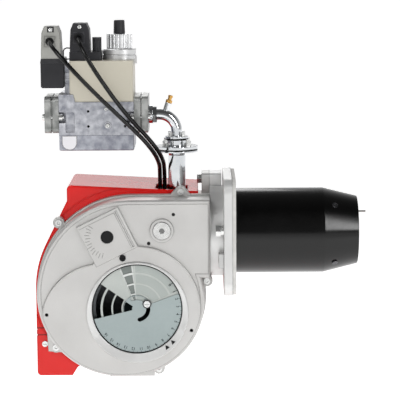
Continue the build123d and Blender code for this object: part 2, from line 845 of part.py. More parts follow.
with BuildPart() as flange_clamp_bolts:
    with BuildSketch(across(-flange_thick)):
        with Locations(*clamp_spots):
            Circle(clamp_flats / 2)
    extrude(amount=-clamp_collar)
    with BuildSketch(across(-flange_thick - clamp_collar)):
        with Locations(*clamp_spots):
            RegularPolygon(clamp_flats / 2, 6, major_radius=False)
    extrude(amount=-clamp_head)
    with BuildSketch(across(-flange_thick)):
        with Locations(*clamp_spots):
            Circle(clamp_radius)
    extrude(amount=clamp_thread - 1)
flange_clamp_bolts.part.label = "flange_clamp_bolts"
export_step(flange_clamp_bolts.part, "parts/flange_clamp_bolts.step")

# ---- Blast tube --------------------------------------------------------------------------------
tube_start = -flange_thick - tube_seat
cone_slope = (tube_radius - mouth_radius) / (tube_end - cone_start)
head_screw_x = 143.5
head_screw_radius = 2.0
head_screw_count = 4
screw_ring_radius = tube_radius - cone_slope * (head_screw_x - cone_start)


def cone_plane(turn):
    """A plane on the tube's cone, facing out, at an angle about the X axis."""
    out = Vector(cone_slope, cos(turn), sin(turn)).normalized()
    spot = Vector(head_screw_x, screw_ring_radius * cos(turn), screw_ring_radius * sin(turn))
    return Plane(origin=spot, x_dir=Vector(0, -sin(turn), cos(turn)), z_dir=out)


head_screw_planes = [cone_plane(radians(45 + 90 * count)) for count in range(head_screw_count)]

with BuildPart() as blast_tube:
    with BuildSketch(Plane.XY):
        with BuildLine():
            Polyline(
                (tube_start, tube_radius - tube_wall),
                (tube_start, seat_radius),
                (gasket_thick + seat_clear, seat_radius),
                (gasket_thick + seat_clear, tube_radius),
                (cone_start, tube_radius),
                (tube_end, mouth_radius),
                (tube_end, mouth_radius - tube_wall),
                (cone_start, tube_radius - tube_wall),
                close=True,
            )
        make_face()
    revolve(axis=Axis.X)
    for plane in head_screw_planes:
        with BuildSketch(plane):
            Circle(head_screw_radius + slip_fit / 2)
        extrude(amount=-2 * tube_wall, mode=Mode.SUBTRACT)
blast_tube.part.label = "blast_tube"
export_step(blast_tube.part, "parts/blast_tube.step")

with BuildPart() as blast_tube_screws:
    for plane in head_screw_planes:
        with BuildSketch(plane):
            Circle(head_screw_radius)
        extrude(amount=-2 * tube_wall)
        with BuildSketch(plane):
            Circle(2 * head_screw_radius)
        extrude(amount=1.8)
blast_tube_screws.part.label = "blast_tube_screws"
export_step(blast_tube_screws.part, "parts/blast_tube_screws.step")

# ---- Combustion head ---------------------------------------------------------------------------
head_start = 98.0
head_end = 128.0
head_radius = 18.0
head_wall = 2.0
disc_x = 124.0
swirl_thick = 2.0
swirl_radius = tube_radius - tube_wall - 1.0
swirl_vanes = 12
bracket_x = 78.0
bracket_thick = 4.0
ceramic_radius = 4.0
electrode_ring = head_radius + 2 * ceramic_radius   # both electrodes stand on this ring
spark_spot = (electrode_ring * cos(radians(153.0)), electrode_ring * sin(radians(153.0)))
probe_spot = (0.0, electrode_ring)
slot_inner = electrode_ring + ceramic_radius + 3.0
slot_outer = swirl_radius - 4.0
wire_radius = 1.3
probe_end = 190.0
spark_end = 134.0
ceramic_start = 60.0

with BuildPart() as inner_gas_pipe:
    with BuildLine() as gas_route:
        FilletPolyline(
            (riser_x, gas_y, boss_top),
            (riser_x, gas_y, 0),
            (riser_x + 45, 0, 0),
            (head_start, 0, 0),
            radius=20,
        )
    with BuildSketch(Plane(origin=gas_route.line @ 0, z_dir=gas_route.line % 0)):
        Circle(pipe_bore)
        Circle(pipe_bore - 2, mode=Mode.SUBTRACT)
    sweep(path=gas_route.line)
inner_gas_pipe.part.label = "inner_gas_pipe"
export_step(inner_gas_pipe.part, "parts/inner_gas_pipe.step")

with BuildPart() as gas_head:
    with BuildSketch(across(head_start)):
        Circle(head_radius)
    extrude(amount=head_end - head_start)
    with BuildSketch(across(head_start + head_wall)):
        Circle(head_radius - head_wall)
    extrude(amount=head_end - head_start - 2 * head_wall, mode=Mode.SUBTRACT)
    with BuildSketch(across(head_start)):
        Circle(pipe_bore - 2)
    extrude(amount=head_wall, mode=Mode.SUBTRACT)
    with BuildSketch(across(head_end)):
        with PolarLocations(11, 8):
            Circle(1.8)
        Circle(3)
    extrude(amount=-head_wall, mode=Mode.SUBTRACT)
gas_head.part.label = "gas_head"
export_step(gas_head.part, "parts/gas_head.step")

with BuildPart() as diffuser_disc:
    with BuildSketch(across(disc_x)):
        Circle(swirl_radius)
        Circle(head_radius + slip_fit, mode=Mode.SUBTRACT)
        with PolarLocations((slot_inner + slot_outer) / 2, swirl_vanes, start_angle=15):
            SlotOverall(slot_outer - slot_inner, 3.5, rotation=25, mode=Mode.SUBTRACT)
        with Locations(spark_spot, probe_spot):
            Circle(ceramic_radius + slip_fit, mode=Mode.SUBTRACT)
    extrude(amount=swirl_thick)
diffuser_disc.part.label = "diffuser_disc"
export_step(diffuser_disc.part, "parts/diffuser_disc.step")

with BuildPart() as electrode_bracket:
    with BuildSketch(across(bracket_x)):
        SlotOverall(64, 22, rotation=90)
        with Locations(((spark_spot[0] - 4) / 2, spark_spot[1] / 2)):
            SlotOverall(50, 16, rotation=degrees(asin(-0.45)))
        Circle(pipe_bore + slip_fit, mode=Mode.SUBTRACT)
        with Locations(spark_spot, probe_spot):
            Circle(ceramic_radius + slip_fit, mode=Mode.SUBTRACT)
    extrude(amount=bracket_thick)
electrode_bracket.part.label = "electrode_bracket"
export_step(electrode_bracket.part, "parts/electrode_bracket.step")

with BuildPart() as ignition_electrode:
    with BuildSketch(across(ceramic_start)):
        with Locations(spark_spot):
            Circle(ceramic_radius)
    extrude(amount=disc_x + swirl_thick - ceramic_start)
    with BuildSketch(across(disc_x + swirl_thick)):
        with Locations(spark_spot):
            Circle(wire_radius)
    extrude(amount=spark_end - disc_x - swirl_thick)
ignition_electrode.part.label = "ignition_electrode"
export_step(ignition_electrode.part, "parts/ignition_electrode.step")

with BuildPart() as ionisation_probe:
    with BuildSketch(across(ceramic_start)):
        with Locations(probe_spot):
            Circle(ceramic_radius)
    extrude(amount=disc_x + swirl_thick - ceramic_start)
    with BuildSketch(across(disc_x + swirl_thick)):
        with Locations(probe_spot):
            Circle(wire_radius)
    extrude(amount=probe_end - disc_x - swirl_thick)
ionisation_probe.part.label = "ionisation_probe"
export_step(ionisation_probe.part, "parts/ionisation_probe.step")

# ---- Gas line, from the housing up to the valve ------------------------------------------------
dish_top = dish_z + dish_thick
union_z = dish_top + seal_thick
collar_z = union_z + union_thick
small_seal_z = collar_z + union_height
plate_z = small_seal_z + small_seal_thick
union_bolt_ring = 22.0
union_bolt_radius = 2.8
elbow_bolt_ring = 12.6
elbow_bolt_head = 3.3
elbow_end = valve_right + outlet_length

with BuildPart() as gas_riser:
    with BuildSketch(upright(riser_x, gas_y)):
        with BuildLine():
            Polyline(
                (pipe_bore, boss_top),
                (riser_radius, boss_top),
                (riser_radius, dish_z - 2),
                (riser_radius + 5, dish_z),
                (dish_radius, dish_top - 2),
                (dish_radius, dish_top),
                (pipe_bore, dish_top),
                close=True,
            )
        make_face()
    revolve(axis=Axis((riser_x, gas_y, 0), (0, 0, 1)))
gas_riser.part.label = "gas_riser"
export_step(gas_riser.part, "parts/gas_riser.step")


def gas_disc(z, radius, thick, bore):
    """A flat ring on the riser's axis."""
    with BuildPart() as ring:
        with BuildSketch(level(z)):
            with Locations((riser_x, gas_y)):
                Circle(radius)
                Circle(bore, mode=Mode.SUBTRACT)
        extrude(amount=thick)
    return ring


riser_gasket = gas_disc(dish_top, dish_radius - 0.8, seal_thick, pipe_bore)
riser_gasket.part.label = "riser_gasket"
export_step(riser_gasket.part, "parts/riser_gasket.step")

with BuildPart() as union_flange:
    with BuildSketch(level(union_z)):
        with Locations((riser_x, gas_y)):
            Circle(dish_radius)
            Circle(pipe_bore, mode=Mode.SUBTRACT)
            with PolarLocations(union_bolt_ring, 4, start_angle=45):
                Circle(union_bolt_radius + slip_fit / 2, mode=Mode.SUBTRACT)
    extrude(amount=union_thick)
    with BuildSketch(level(collar_z)):
        with Locations((riser_x, gas_y)):
            Circle(union_radius)
            Circle(pipe_bore, mode=Mode.SUBTRACT)
    extrude(amount=union_height)
union_flange.part.label = "union_flange"
export_step(union_flange.part, "parts/union_flange.step")

with BuildPart() as union_bolts:
    with BuildSketch(level(union_z)):
        with Locations((riser_x, gas_y)):
            with PolarLocations(union_bolt_ring, 4, start_angle=45):
                Circle(union_bolt_radius)
    extrude(amount=union_thick + 10)
    with BuildSketch(level(collar_z)):
        with Locations((riser_x, gas_y)):
            with PolarLocations(union_bolt_ring, 4, start_angle=45):
                RegularPolygon(5.0, 6)
    extrude(amount=5)
union_bolts.part.label = "union_bolts"
export_step(union_bolts.part, "parts/union_bolts.step")

upper_gasket = gas_disc(small_seal_z, small_seal_radius, small_seal_thick, pipe_bore)
upper_gasket.part.label = "upper_gasket"
export_step(upper_gasket.part, "parts/upper_gasket.step")

elbow_flange = gas_disc(plate_z, small_seal_radius, plate_thick, elbow_radius + slip_fit / 2)
elbow_flange.part.label = "elbow_flange"
export_step(elbow_flange.part, "parts/elbow_flange.step")

with BuildPart() as elbow_bolts:
    with BuildSketch(level(plate_z + plate_thick)):
        with Locations((riser_x, gas_y)):
            with PolarLocations(elbow_bolt_ring, 4, start_angle=45):
                RegularPolygon(elbow_bolt_head, 6)
    extrude(amount=6)
elbow_bolts.part.label = "elbow_bolts"
export_step(elbow_bolts.part, "parts/elbow_bolts.step")

nipple_turn = radians(72.0)
nipple_from = elbow_bend + elbow_bore + 0.5
nipple_post = 12.0
nipple_way = Vector(cos(nipple_turn), 0, sin(nipple_turn))
bend_centre = Vector(riser_x - elbow_bend, gas_y, valve_z - elbow_bend)
nipple_base = Plane(origin=bend_centre + nipple_way * nipple_from, z_dir=nipple_way)

with BuildPart() as elbow_pipe:
    with BuildLine() as elbow_route:
        FilletPolyline(
            (riser_x, gas_y, plate_z),
            (riser_x, gas_y, valve_z),
            (elbow_end, gas_y, valve_z),
            radius=elbow_bend,
        )
    with BuildSketch(level(plate_z)):
        with Locations((riser_x, gas_y)):
            Circle(elbow_radius)
            Circle(elbow_bore, mode=Mode.SUBTRACT)
    sweep(path=elbow_route.line)
    with BuildSketch(nipple_base):
        Circle(4.6)
    extrude(amount=nipple_post)
elbow_pipe.part.label = "elbow_pipe"
export_step(elbow_pipe.part, "parts/elbow_pipe.step")

with BuildPart() as test_nipple:
    with BuildSketch(nipple_base.offset(nipple_post)):
        RegularPolygon(4.6, 6)
    extrude(amount=4)
    with BuildSketch(nipple_base.offset(nipple_post + 4)):
        Circle(2.8)
    extrude(amount=7)
    with BuildSketch(nipple_base.offset(nipple_post + 8)):
        Circle(3.5)
    extrude(amount=2)
test_nipple.part.label = "test_nipple"
export_step(test_nipple.part, "parts/test_nipple.step")

nut_radius = 13.0
nut_length = 11.4
with BuildPart() as union_nut:
    with BuildSketch(across(elbow_end)):
        with Locations((gas_y, valve_z)):
            Circle(nut_radius)
            Circle(elbow_radius + slip_fit / 2, mode=Mode.SUBTRACT)
    extrude(amount=nut_length / 2)
    with BuildSketch(across(elbow_end + nut_length / 2)):
        with Locations((gas_y, valve_z)):
            RegularPolygon(nut_radius - 0.5, 6)
            Circle(elbow_radius + slip_fit / 2, mode=Mode.SUBTRACT)
    extrude(amount=nut_length / 2)
union_nut.part.label = "union_nut"
export_step(union_nut.part, "parts/union_nut.step")

# ---- Gas valve ---------------------------------------------------------------------------------
valve_y = valve_front + valve_depth / 2
valve_back = valve_front + valve_depth
flange_z = valve_z + 3.0
flange_high = 51.0
screw_ys = [valve_front + 6.5, valve_back - 6.5]
pocket_length = 9.5
pocket_side = 13.0
flange_screw_radius = 3.0
step_x = valve_left + 20.5

with BuildPart() as valve_block:
    with BuildSketch(facing(valve_back)):
        with BuildLine():
            Polyline(
                (valve_left, valve_low),
                (valve_right, valve_low),
                (valve_right, valve_high),
                (step_x + 2.5, valve_high),
                (step_x, step_high),
                (valve_left, step_high),
                close=True,
            )
        make_face()
    extrude(amount=valve_depth)
    with BuildSketch(across(valve_left)):
        with Locations((valve_y, valve_z)):
            Circle(pipe_bore)
    extrude(amount=valve_right - valve_left, mode=Mode.SUBTRACT)
    # Pockets for the flange nuts, at the corners of both ends.
    for end_x, way in ((valve_left, 1), (valve_right, -1)):
        with BuildSketch(across(end_x)):
            with Locations((valve_front + pocket_side / 2, valve_z), (valve_back - pocket_side / 2, valve_z)):
                Rectangle(pocket_side, pocket_side + 2)
        extrude(amount=way * pocket_length, mode=Mode.SUBTRACT)
    # The recess, bosses and screw holes of the front face.
    with BuildSketch(facing(valve_front)):
        with Locations((-224.4, 157.8)):
            RectangleRounded(12.7, 27.6, 1.5)
    extrude(amount=-5, mode=Mode.SUBTRACT)
    with BuildSketch(facing(valve_front)):
        with Locations((-199.0, 173.0), (-199.0, 152.0), (-148.0, 152.0), (-148.0, 173.0)):
            Circle(1.6)
    extrude(amount=-4, mode=Mode.SUBTRACT)
    with BuildSketch(facing(valve_front)):
        with Locations((-174.0, 176.5)):
            Circle(3.5)
        with Locations((-172.0, 153.0)):
            Circle(5.4)
            Circle(2.6, mode=Mode.SUBTRACT)
    extrude(amount=1.2)
valve_block.part.label = "valve_block"
export_step(valve_block.part, "parts/valve_block.step")

vent_x = valve_left + 14.4
vent_radius = 10.5
vent_depth = 2.0
vent_top = valve_low - 0.3


def vent_face(inset):
    """The vent opening in the front of the lower cover: flat on top and round below."""
    radius = vent_radius - inset
    middle = vent_top - vent_radius + 1
    with BuildSketch(Plane.XY) as face:
        with BuildLine():
            Polyline(
                (vent_x - radius, middle),
                (vent_x - radius, vent_top - inset),
                (vent_x + radius, vent_top - inset),
                (vent_x + radius, middle),
            )
            ThreePointArc((vent_x + radius, middle), (vent_x, middle - radius), (vent_x - radius, middle))
        make_face()
    return face.sketch


with BuildPart() as valve_lower_cover:
    with BuildSketch(level(cover_low)):
        with Locations(((valve_left + valve_right) / 2, valve_y)):
            RectangleRounded(valve_right - valve_left, valve_depth, 2)
    extrude(amount=valve_low - cover_low)
    chamfer(valve_lower_cover.faces().sort_by(Axis.Z)[0].edges(), length=1.5)
    with BuildSketch(facing(valve_front)):
        add(vent_face(0))
    extrude(amount=-vent_depth, mode=Mode.SUBTRACT)
valve_lower_cover.part.label = "valve_lower_cover"
export_step(valve_lower_cover.part, "parts/valve_lower_cover.step")

with BuildPart() as vent_cap:
    with BuildSketch(facing(valve_front + vent_depth)):
        add(vent_face(0))
    extrude(amount=vent_depth)
    with BuildSketch(facing(valve_front)):
        add(vent_face(0.6))
    extrude(amount=0.8)
vent_cap.part.label = "vent_cap"
export_step(vent_cap.part, "parts/vent_cap.step")


def valve_flange(x, thick, step, bore):
    """A two-step flange on the valve's end; step is where the wider part starts, from x."""
    with BuildPart() as flange:
        with BuildSketch(across(x)):
            with Locations((valve_y, flange_z)):
                RectangleRounded(valve_depth - 4, flange_high, 7)
        extrude(amount=thick)
        with BuildSketch(across(x)):
            with Locations((valve_y, valve_z)):
                Circle(bore)
            for screw_y in screw_ys:
                with Locations((screw_y, valve_z)):
                    Circle(flange_screw_radius + slip_fit / 2)
        extrude(amount=thick, mode=Mode.SUBTRACT)
        # A groove all round parts the clamping plate from the adaptor behind it.
        with BuildSketch(across(x + step)):
            with Locations((valve_y, flange_z)):
                RectangleRounded(valve_depth - 4, flange_high, 7)
                RectangleRounded(valve_depth - 8, flange_high - 4, 6, mode=Mode.SUBTRACT)
        extrude(amount=2, mode=Mode.SUBTRACT)
    return flange


valve_inlet_flange = valve_flange(valve_left - inlet_length, inlet_length, 9, port_radius)
valve_inlet_flange.part.label = "valve_inlet_flange"
export_step(valve_inlet_flange.part, "parts/valve_inlet_flange.step")

valve_outlet_flange = valve_flange(valve_right, outlet_length, 9, pipe_bore)
valve_outlet_flange.part.label = "valve_outlet_flange"
export_step(valve_outlet_flange.part, "parts/valve_outlet_flange.step")

flange_nut = 5.8
with BuildPart() as valve_flange_screws:
    ends = ((valve_left, valve_left - inlet_length, 1), (valve_right, elbow_end, -1))
    for inner_x, outer_x, way in ends:
        for screw_y in screw_ys:
            with BuildSketch(across(outer_x)):
                with Locations((screw_y, valve_z)):
                    Circle(flange_screw_radius)
            extrude(amount=way * (abs(inner_x - outer_x) + 7))
            with BuildSketch(across(outer_x)):
                with Locations((screw_y, valve_z)):
                    Circle(flange_nut - 0.8)
            extrude(amount=-way * 3.4)
            with BuildSketch(across(inner_x)):
                with Locations((screw_y, valve_z)):
                    RegularPolygon(flange_nut, 6)
            extrude(amount=way * 5)
valve_flange_screws.part.label = "valve_flange_screws"
export_step(valve_flange_screws.part, "parts/valve_flange_screws.step")

# ---- Coil and its plug -------------------------------------------------------------------------
with BuildPart() as coil_housing:
    with BuildSketch(facing(valve_back - 1)):
        with BuildLine():
            Polyline(
                (step_x + 2.5, valve_high),
                (coil_right, valve_high),
                (coil_right, coil_top),
                (coil_left, coil_top),
                (coil_left, step_high),
                (step_x, step_high),
                close=True,
            )
        make_face()
    extrude(amount=valve_depth - 2)
    chamfer(coil_housing.edges().filter_by(Axis.Z), length=1.5)
coil_housing.part.label = "coil_housing"
export_step(coil_housing.part, "parts/coil_housing.step")

ring_radius = 23.4
ring_high = 15.0
knob_radius = 18.0
knob_high = 20.0
knob_flutes = 20
spigot_radius = 4.5
spigot_high = 10.0
cap_radius = 8.2
cap_high = 19.0
knob_z = coil_top + ring_high + running_gap
knob_top = knob_z + knob_high
cap_z = knob_top + running_gap

with BuildPart() as regulator_ring:
    with BuildSketch(level(coil_top)):
        with Locations((regulator_x, valve_y)):
            Circle(ring_radius)
    extrude(amount=ring_high)
    chamfer(regulator_ring.edges().filter_by(GeomType.CIRCLE).sort_by(Axis.Z)[-1], length=1.2)
    with BuildSketch(level(coil_top + 6)):
        with Locations((regulator_x, valve_y)):
            Circle(ring_radius)
            Circle(ring_radius - 1, mode=Mode.SUBTRACT)
    extrude(amount=1.6, mode=Mode.SUBTRACT)
    with BuildSketch(level(coil_top - 6)):
        with Locations((coil_right + 2, valve_y)):
            Rectangle(4, 16)
    extrude(amount=11)
regulator_ring.part.label = "regulator_ring"
export_step(regulator_ring.part, "parts/regulator_ring.step")

with BuildPart() as regulator_knob:
    with BuildSketch(level(knob_z)):
        with Locations((regulator_x, valve_y)):
            Circle(knob_radius)
            with PolarLocations(knob_radius + 0.6, knob_flutes):
                Circle(1.9, mode=Mode.SUBTRACT)
    extrude(amount=knob_high)
    with BuildSketch(level(knob_top)):
        with Locations((regulator_x, valve_y)):
            Circle(spigot_radius)
    extrude(amount=spigot_high)
regulator_knob.part.label = "regulator_knob"
export_step(regulator_knob.part, "parts/regulator_knob.step")

with BuildPart() as knob_cap:
    with BuildSketch(upright(regulator_x, valve_y)):
        with BuildLine():
            Polyline(
                (0, cap_z + spigot_high + 1),
                (spigot_radius + running_gap, cap_z + spigot_high + 1),
                (spigot_radius + running_gap, cap_z),
                (cap_radius, cap_z),
                (cap_radius - 0.6, cap_z + cap_high - 1),
                (cap_radius - 1.6, cap_z + cap_high),
                (0, cap_z + cap_high),
                close=True,
            )
        make_face()
    revolve(axis=Axis((regulator_x, valve_y, 0), (0, 0, 1)))
knob_cap.part.label = "knob_cap"
export_step(knob_cap.part, "parts/knob_cap.step")

connector_front = -22.0
connector_depth = 34.0
base_top = coil_top + 12.0
coil_plug_x = coil_left + 15.0
lead_radius = 3.0
gland_radius = 5.7
gland_length = 5.0


def plug_body(x, low, high):
    """A square cable plug with sloping shoulders, standing on its socket."""
    half = connector_width / 2
    with BuildPart() as plug:
        with BuildSketch(facing(connector_front + connector_depth)):
            with BuildLine():
                Polyline(
                    (x - half, low),
                    (x + half, low),
                    (x + half, low + 9),
                    (x + half - 1.2, high - 9),
                    (x + half - 5, high),
                    (x - half + 5, high),
                    (x - half + 1.2, high - 9),
                    (x - half, low + 9),
                    close=True,
                )
            make_face()
        extrude(amount=connector_depth)
        with BuildSketch(level(high)):
            with Locations((x, connector_front + connector_depth / 2)):
                Circle(3.4)
        extrude(amount=-3, mode=Mode.SUBTRACT)
        chamfer(plug.faces().sort_by(Axis.Y)[0].outer_wire().edges(), length=1)
    return plug


base_length = 44.0
plug_height = 40.0
with BuildPart() as connector_base:
    with BuildSketch(level(coil_top)):
        with Locations((coil_left + base_length / 2, 5)):
            RectangleRounded(base_length, 54, 2)
    extrude(amount=base_top - coil_top)
connector_base.part.label = "connector_base"
export_step(connector_base.part, "parts/connector_base.step")

coil_connector = plug_body(coil_plug_x, base_top, base_top + plug_height)
coil_connector.part.label = "coil_connector"
export_step(coil_connector.part, "parts/coil_connector.step")

rib_x = coil_left + 38.0
rib_y = -8.0
with BuildPart() as ribbed_cap:
    with BuildSketch(level(base_top)):
        with Locations((rib_x, rib_y)):
            Circle(6.4)
            with PolarLocations(6.6, 12):
                Circle(0.9, mode=Mode.SUBTRACT)
    extrude(amount=20)
ribbed_cap.part.label = "ribbed_cap"
export_step(ribbed_cap.part, "parts/ribbed_cap.step")

# ---- Gas pressure switch -----------------------------------------------------------------------
switch_right = coil_left - 7.3
switch_left = switch_right - 33.1
switch_low = step_high + 8.3
switch_high = switch_low + 35.0
switch_plug_x = switch_right - 18.0
lid_high = 6.0
switch_y = 8.0
switch_depth = 60.0

with BuildPart() as switch_base:
    with BuildSketch(facing(switch_y + switch_depth / 2 - 6)):
        with BuildLine():
            Polyline(
                (switch_right, step_high),
                (coil_left, step_high),
                (coil_left, switch_high),
                (switch_right, switch_high),
                close=True,
            )
        make_face()
    extrude(amount=switch_depth - 12)
    for rib_z in (212.0, 220.0, 228.0):
        with BuildSketch(facing(switch_y - switch_depth / 2 + 6)):
            with Locations(((switch_right + coil_left) / 2, rib_z)):
                Rectangle(coil_left - switch_right, 3)
        extrude(amount=-1.5, mode=Mode.SUBTRACT)
switch_base.part.label = "switch_base"
export_step(switch_base.part, "parts/switch_base.step")

with BuildPart() as switch_body:
    with BuildSketch(level(switch_low)):
        with Locations(((switch_left + switch_right) / 2, switch_y)):
            RectangleRounded(switch_right - switch_left, switch_depth, 2.5)
    extrude(amount=switch_high - switch_low)
    chamfer(switch_body.faces().sort_by(Axis.Z)[0].edges(), length=2)
switch_body.part.label = "switch_body"
export_step(switch_body.part, "parts/switch_body.step")

with BuildPart() as switch_lid:
    with BuildSketch(level(switch_high)):
        with Locations(((switch_left + switch_right) / 2, switch_y)):
            RectangleRounded(switch_right - switch_left + 1, switch_depth + 1, 3)
    extrude(amount=lid_high, taper=12)
switch_lid.part.label = "switch_lid"
export_step(switch_lid.part, "parts/switch_lid.step")

switch_connector = plug_body(switch_plug_x, switch_high + lid_high, switch_high + lid_high + plug_height + 5)
switch_connector.part.label = "switch_connector"
export_step(switch_connector.part, "parts/switch_connector.step")

# ---- Leads -------------------------------------------------------------------------------------
switch_exit = (-251.0, connector_front, 270.0)
coil_exit = (-211.0, connector_front, 275.0)
grommet_z = casing_top - rear_inset
grommet_top = grommet_z + 5.0
switch_end = (-101.3, 28.0, grommet_top)
coil_end = (-94.7, 28.0, grommet_top)
bend_share = 0.45

switch_route = [
    switch_exit,
    (-251.0, -44.0, 270.0),
    (-239.0, -60.0, 256.5),
    (-215.5, -66.0, 231.0),
    (-187.8, -64.0, 201.5),
    (-158.3, -61.0, 172.5),
    (-136.5, -56.0, 151.0),
    (-119.5, -47.0, 132.5),
    (-106.8, -31.0, 113.5),
    (-101.7, -8.0, 98.0),
    (-101.3, 15.0, 88.0),
    (-101.3, 28.0, 74.0),
    switch_end,
]
coil_route = [
    coil_exit,
    (-211.0, -42.0, 275.0),
    (-203.3, -56.0, 258.5),
    (-188.2, -60.0, 233.0),
    (-168.8, -58.0, 203.5),
    (-151.1, -54.5, 178.5),
    (-133.3, -48.0, 156.5),
    (-116.0, -40.0, 137.0),
    (-102.0, -26.0, 117.0),
    (-95.8, -5.0, 101.0),
    (-94.9, 16.5, 89.0),
    (-94.7, 28.0, 74.5),
    coil_end,
]


def bend_radii(name, route):
    """Each bend as large as its two straight runs allow."""
    radii = []
    for before, corner, after in zip(route, route[1:], route[2:]):
        run_in = Vector(corner) - Vector(before)
        run_out = Vector(after) - Vector(corner)
        turn = radians(run_in.get_angle(run_out))
        radii.append(bend_share * min(run_in.length, run_out.length) / tan(turn / 2))
    print(name, "bend radii:", ", ".join(f"{radius:.0f}" for radius in radii))
    return radii


def lead(name, route):
    """A round lead along straight runs joined by arcs."""
    with BuildPart() as tube:
        with BuildLine() as path:
            FilletPolyline(*route, radius=bend_radii(name, route))
        with BuildSketch(Plane(origin=path.line @ 0, z_dir=path.line % 0)):
            Circle(lead_radius)
        sweep(path=path.line)
    length = path.wires()[0].length
    print(name, f"length {length:.0f} mm, volume {tube.part.volume:.0f} mm3,",
          f"section times length {pi * lead_radius**2 * length:.0f}")
    return tube


switch_lead = lead("switch_lead", switch_route)
switch_lead.part.label = "switch_lead"
export_step(switch_lead.part, "parts/switch_lead.step")

coil_lead = lead("coil_lead", coil_route)
coil_lead.part.label = "coil_lead"
export_step(coil_lead.part, "parts/coil_lead.step")

with BuildPart() as cable_glands:
    with BuildSketch(facing(connector_front)):
        with Locations((switch_exit[0], switch_exit[2]), (coil_exit[0], coil_exit[2])):
            Circle(gland_radius)
            Circle(lead_radius + 0.6, mode=Mode.SUBTRACT)
    extrude(amount=gland_length)
cable_glands.part.label = "cable_glands"
export_step(cable_glands.part, "parts/cable_glands.step")

with BuildPart() as cable_grommet:
    with BuildSketch(level(grommet_z)):
        with Locations(((switch_end[0] + coil_end[0]) / 2, 28.0)):
            RectangleRounded(14.0, 15.5, 2)
    extrude(amount=grommet_top - grommet_z)
cable_grommet.part.label = "cable_grommet"
export_step(cable_grommet.part, "parts/cable_grommet.step")
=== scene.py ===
from math import asin, cos, hypot, pi, radians, sin

import bpy
from mathutils import Euler, Matrix, Vector


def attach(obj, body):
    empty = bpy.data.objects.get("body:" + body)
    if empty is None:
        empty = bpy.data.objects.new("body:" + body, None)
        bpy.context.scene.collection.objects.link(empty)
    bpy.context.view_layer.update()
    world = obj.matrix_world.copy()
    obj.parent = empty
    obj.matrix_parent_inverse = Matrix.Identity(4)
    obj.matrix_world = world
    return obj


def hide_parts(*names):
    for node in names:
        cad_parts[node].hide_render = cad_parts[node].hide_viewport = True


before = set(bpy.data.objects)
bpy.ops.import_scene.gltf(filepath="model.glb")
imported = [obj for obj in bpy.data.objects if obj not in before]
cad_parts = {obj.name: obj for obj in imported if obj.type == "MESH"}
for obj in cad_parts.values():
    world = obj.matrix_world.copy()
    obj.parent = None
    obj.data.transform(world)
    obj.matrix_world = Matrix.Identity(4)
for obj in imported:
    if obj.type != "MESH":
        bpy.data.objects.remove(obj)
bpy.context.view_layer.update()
bpy.ops.object.select_all(action="DESELECT")

# ---- Camera ------------------------------------------------------------------------------------
# A long lens from the air-intake side, a little above the burner, with the hood's top just
# in sight. The slight roll is the burner's own, which hangs half a degree out of level.
camera_target = Vector((-0.0444, 0.0, 0.0436))
camera_away = 2.5
camera_dip = radians(8)
camera_roll = radians(-0.42)
bpy.ops.object.camera_add()
camera = bpy.context.object
camera.name = "camera"
camera.data.lens = 158.9
camera.data.sensor_width = 36.0
camera.location = camera_target + camera_away * Vector((0, -cos(camera_dip), sin(camera_dip)))
aim = Euler((pi / 2 - camera_dip, 0, 0)).to_matrix() @ Matrix.Rotation(camera_roll, 3, "Z")
camera.rotation_euler = aim.to_euler()
bpy.context.scene.camera = camera
bpy.context.scene.view_settings.view_transform = "Standard"


# ---- Leads -------------------------------------------------------------------------------------
# Two round three-core leads, in a smooth black rubber sheath. Each leaves the gland of its
# plug on the valve and comes down side by side into the grommet under the hood.
class Value:
    """A number, colour or vector in a material. Sums on it add their Math nodes."""

    def __init__(self, finish, socket):
        self.finish = finish
        self.socket = socket

    def maths(self, operation, first, second):
        return self.finish.add("ShaderNodeMath", {"operation": operation}, {0: first, 1: second})

    def __add__(self, other):
        return self.maths("ADD", self, other)

    def __sub__(self, other):
        return self.maths("SUBTRACT", self, other)

    def __rsub__(self, other):
        return self.maths("SUBTRACT", other, self)

    def __mul__(self, other):
        return self.maths("MULTIPLY", self, other)

    def __gt__(self, other):
        return self.maths("GREATER_THAN", self, other)

    def __lt__(self, other):
        return self.maths("LESS_THAN", self, other)

    __radd__ = __add__
    __rmul__ = __mul__


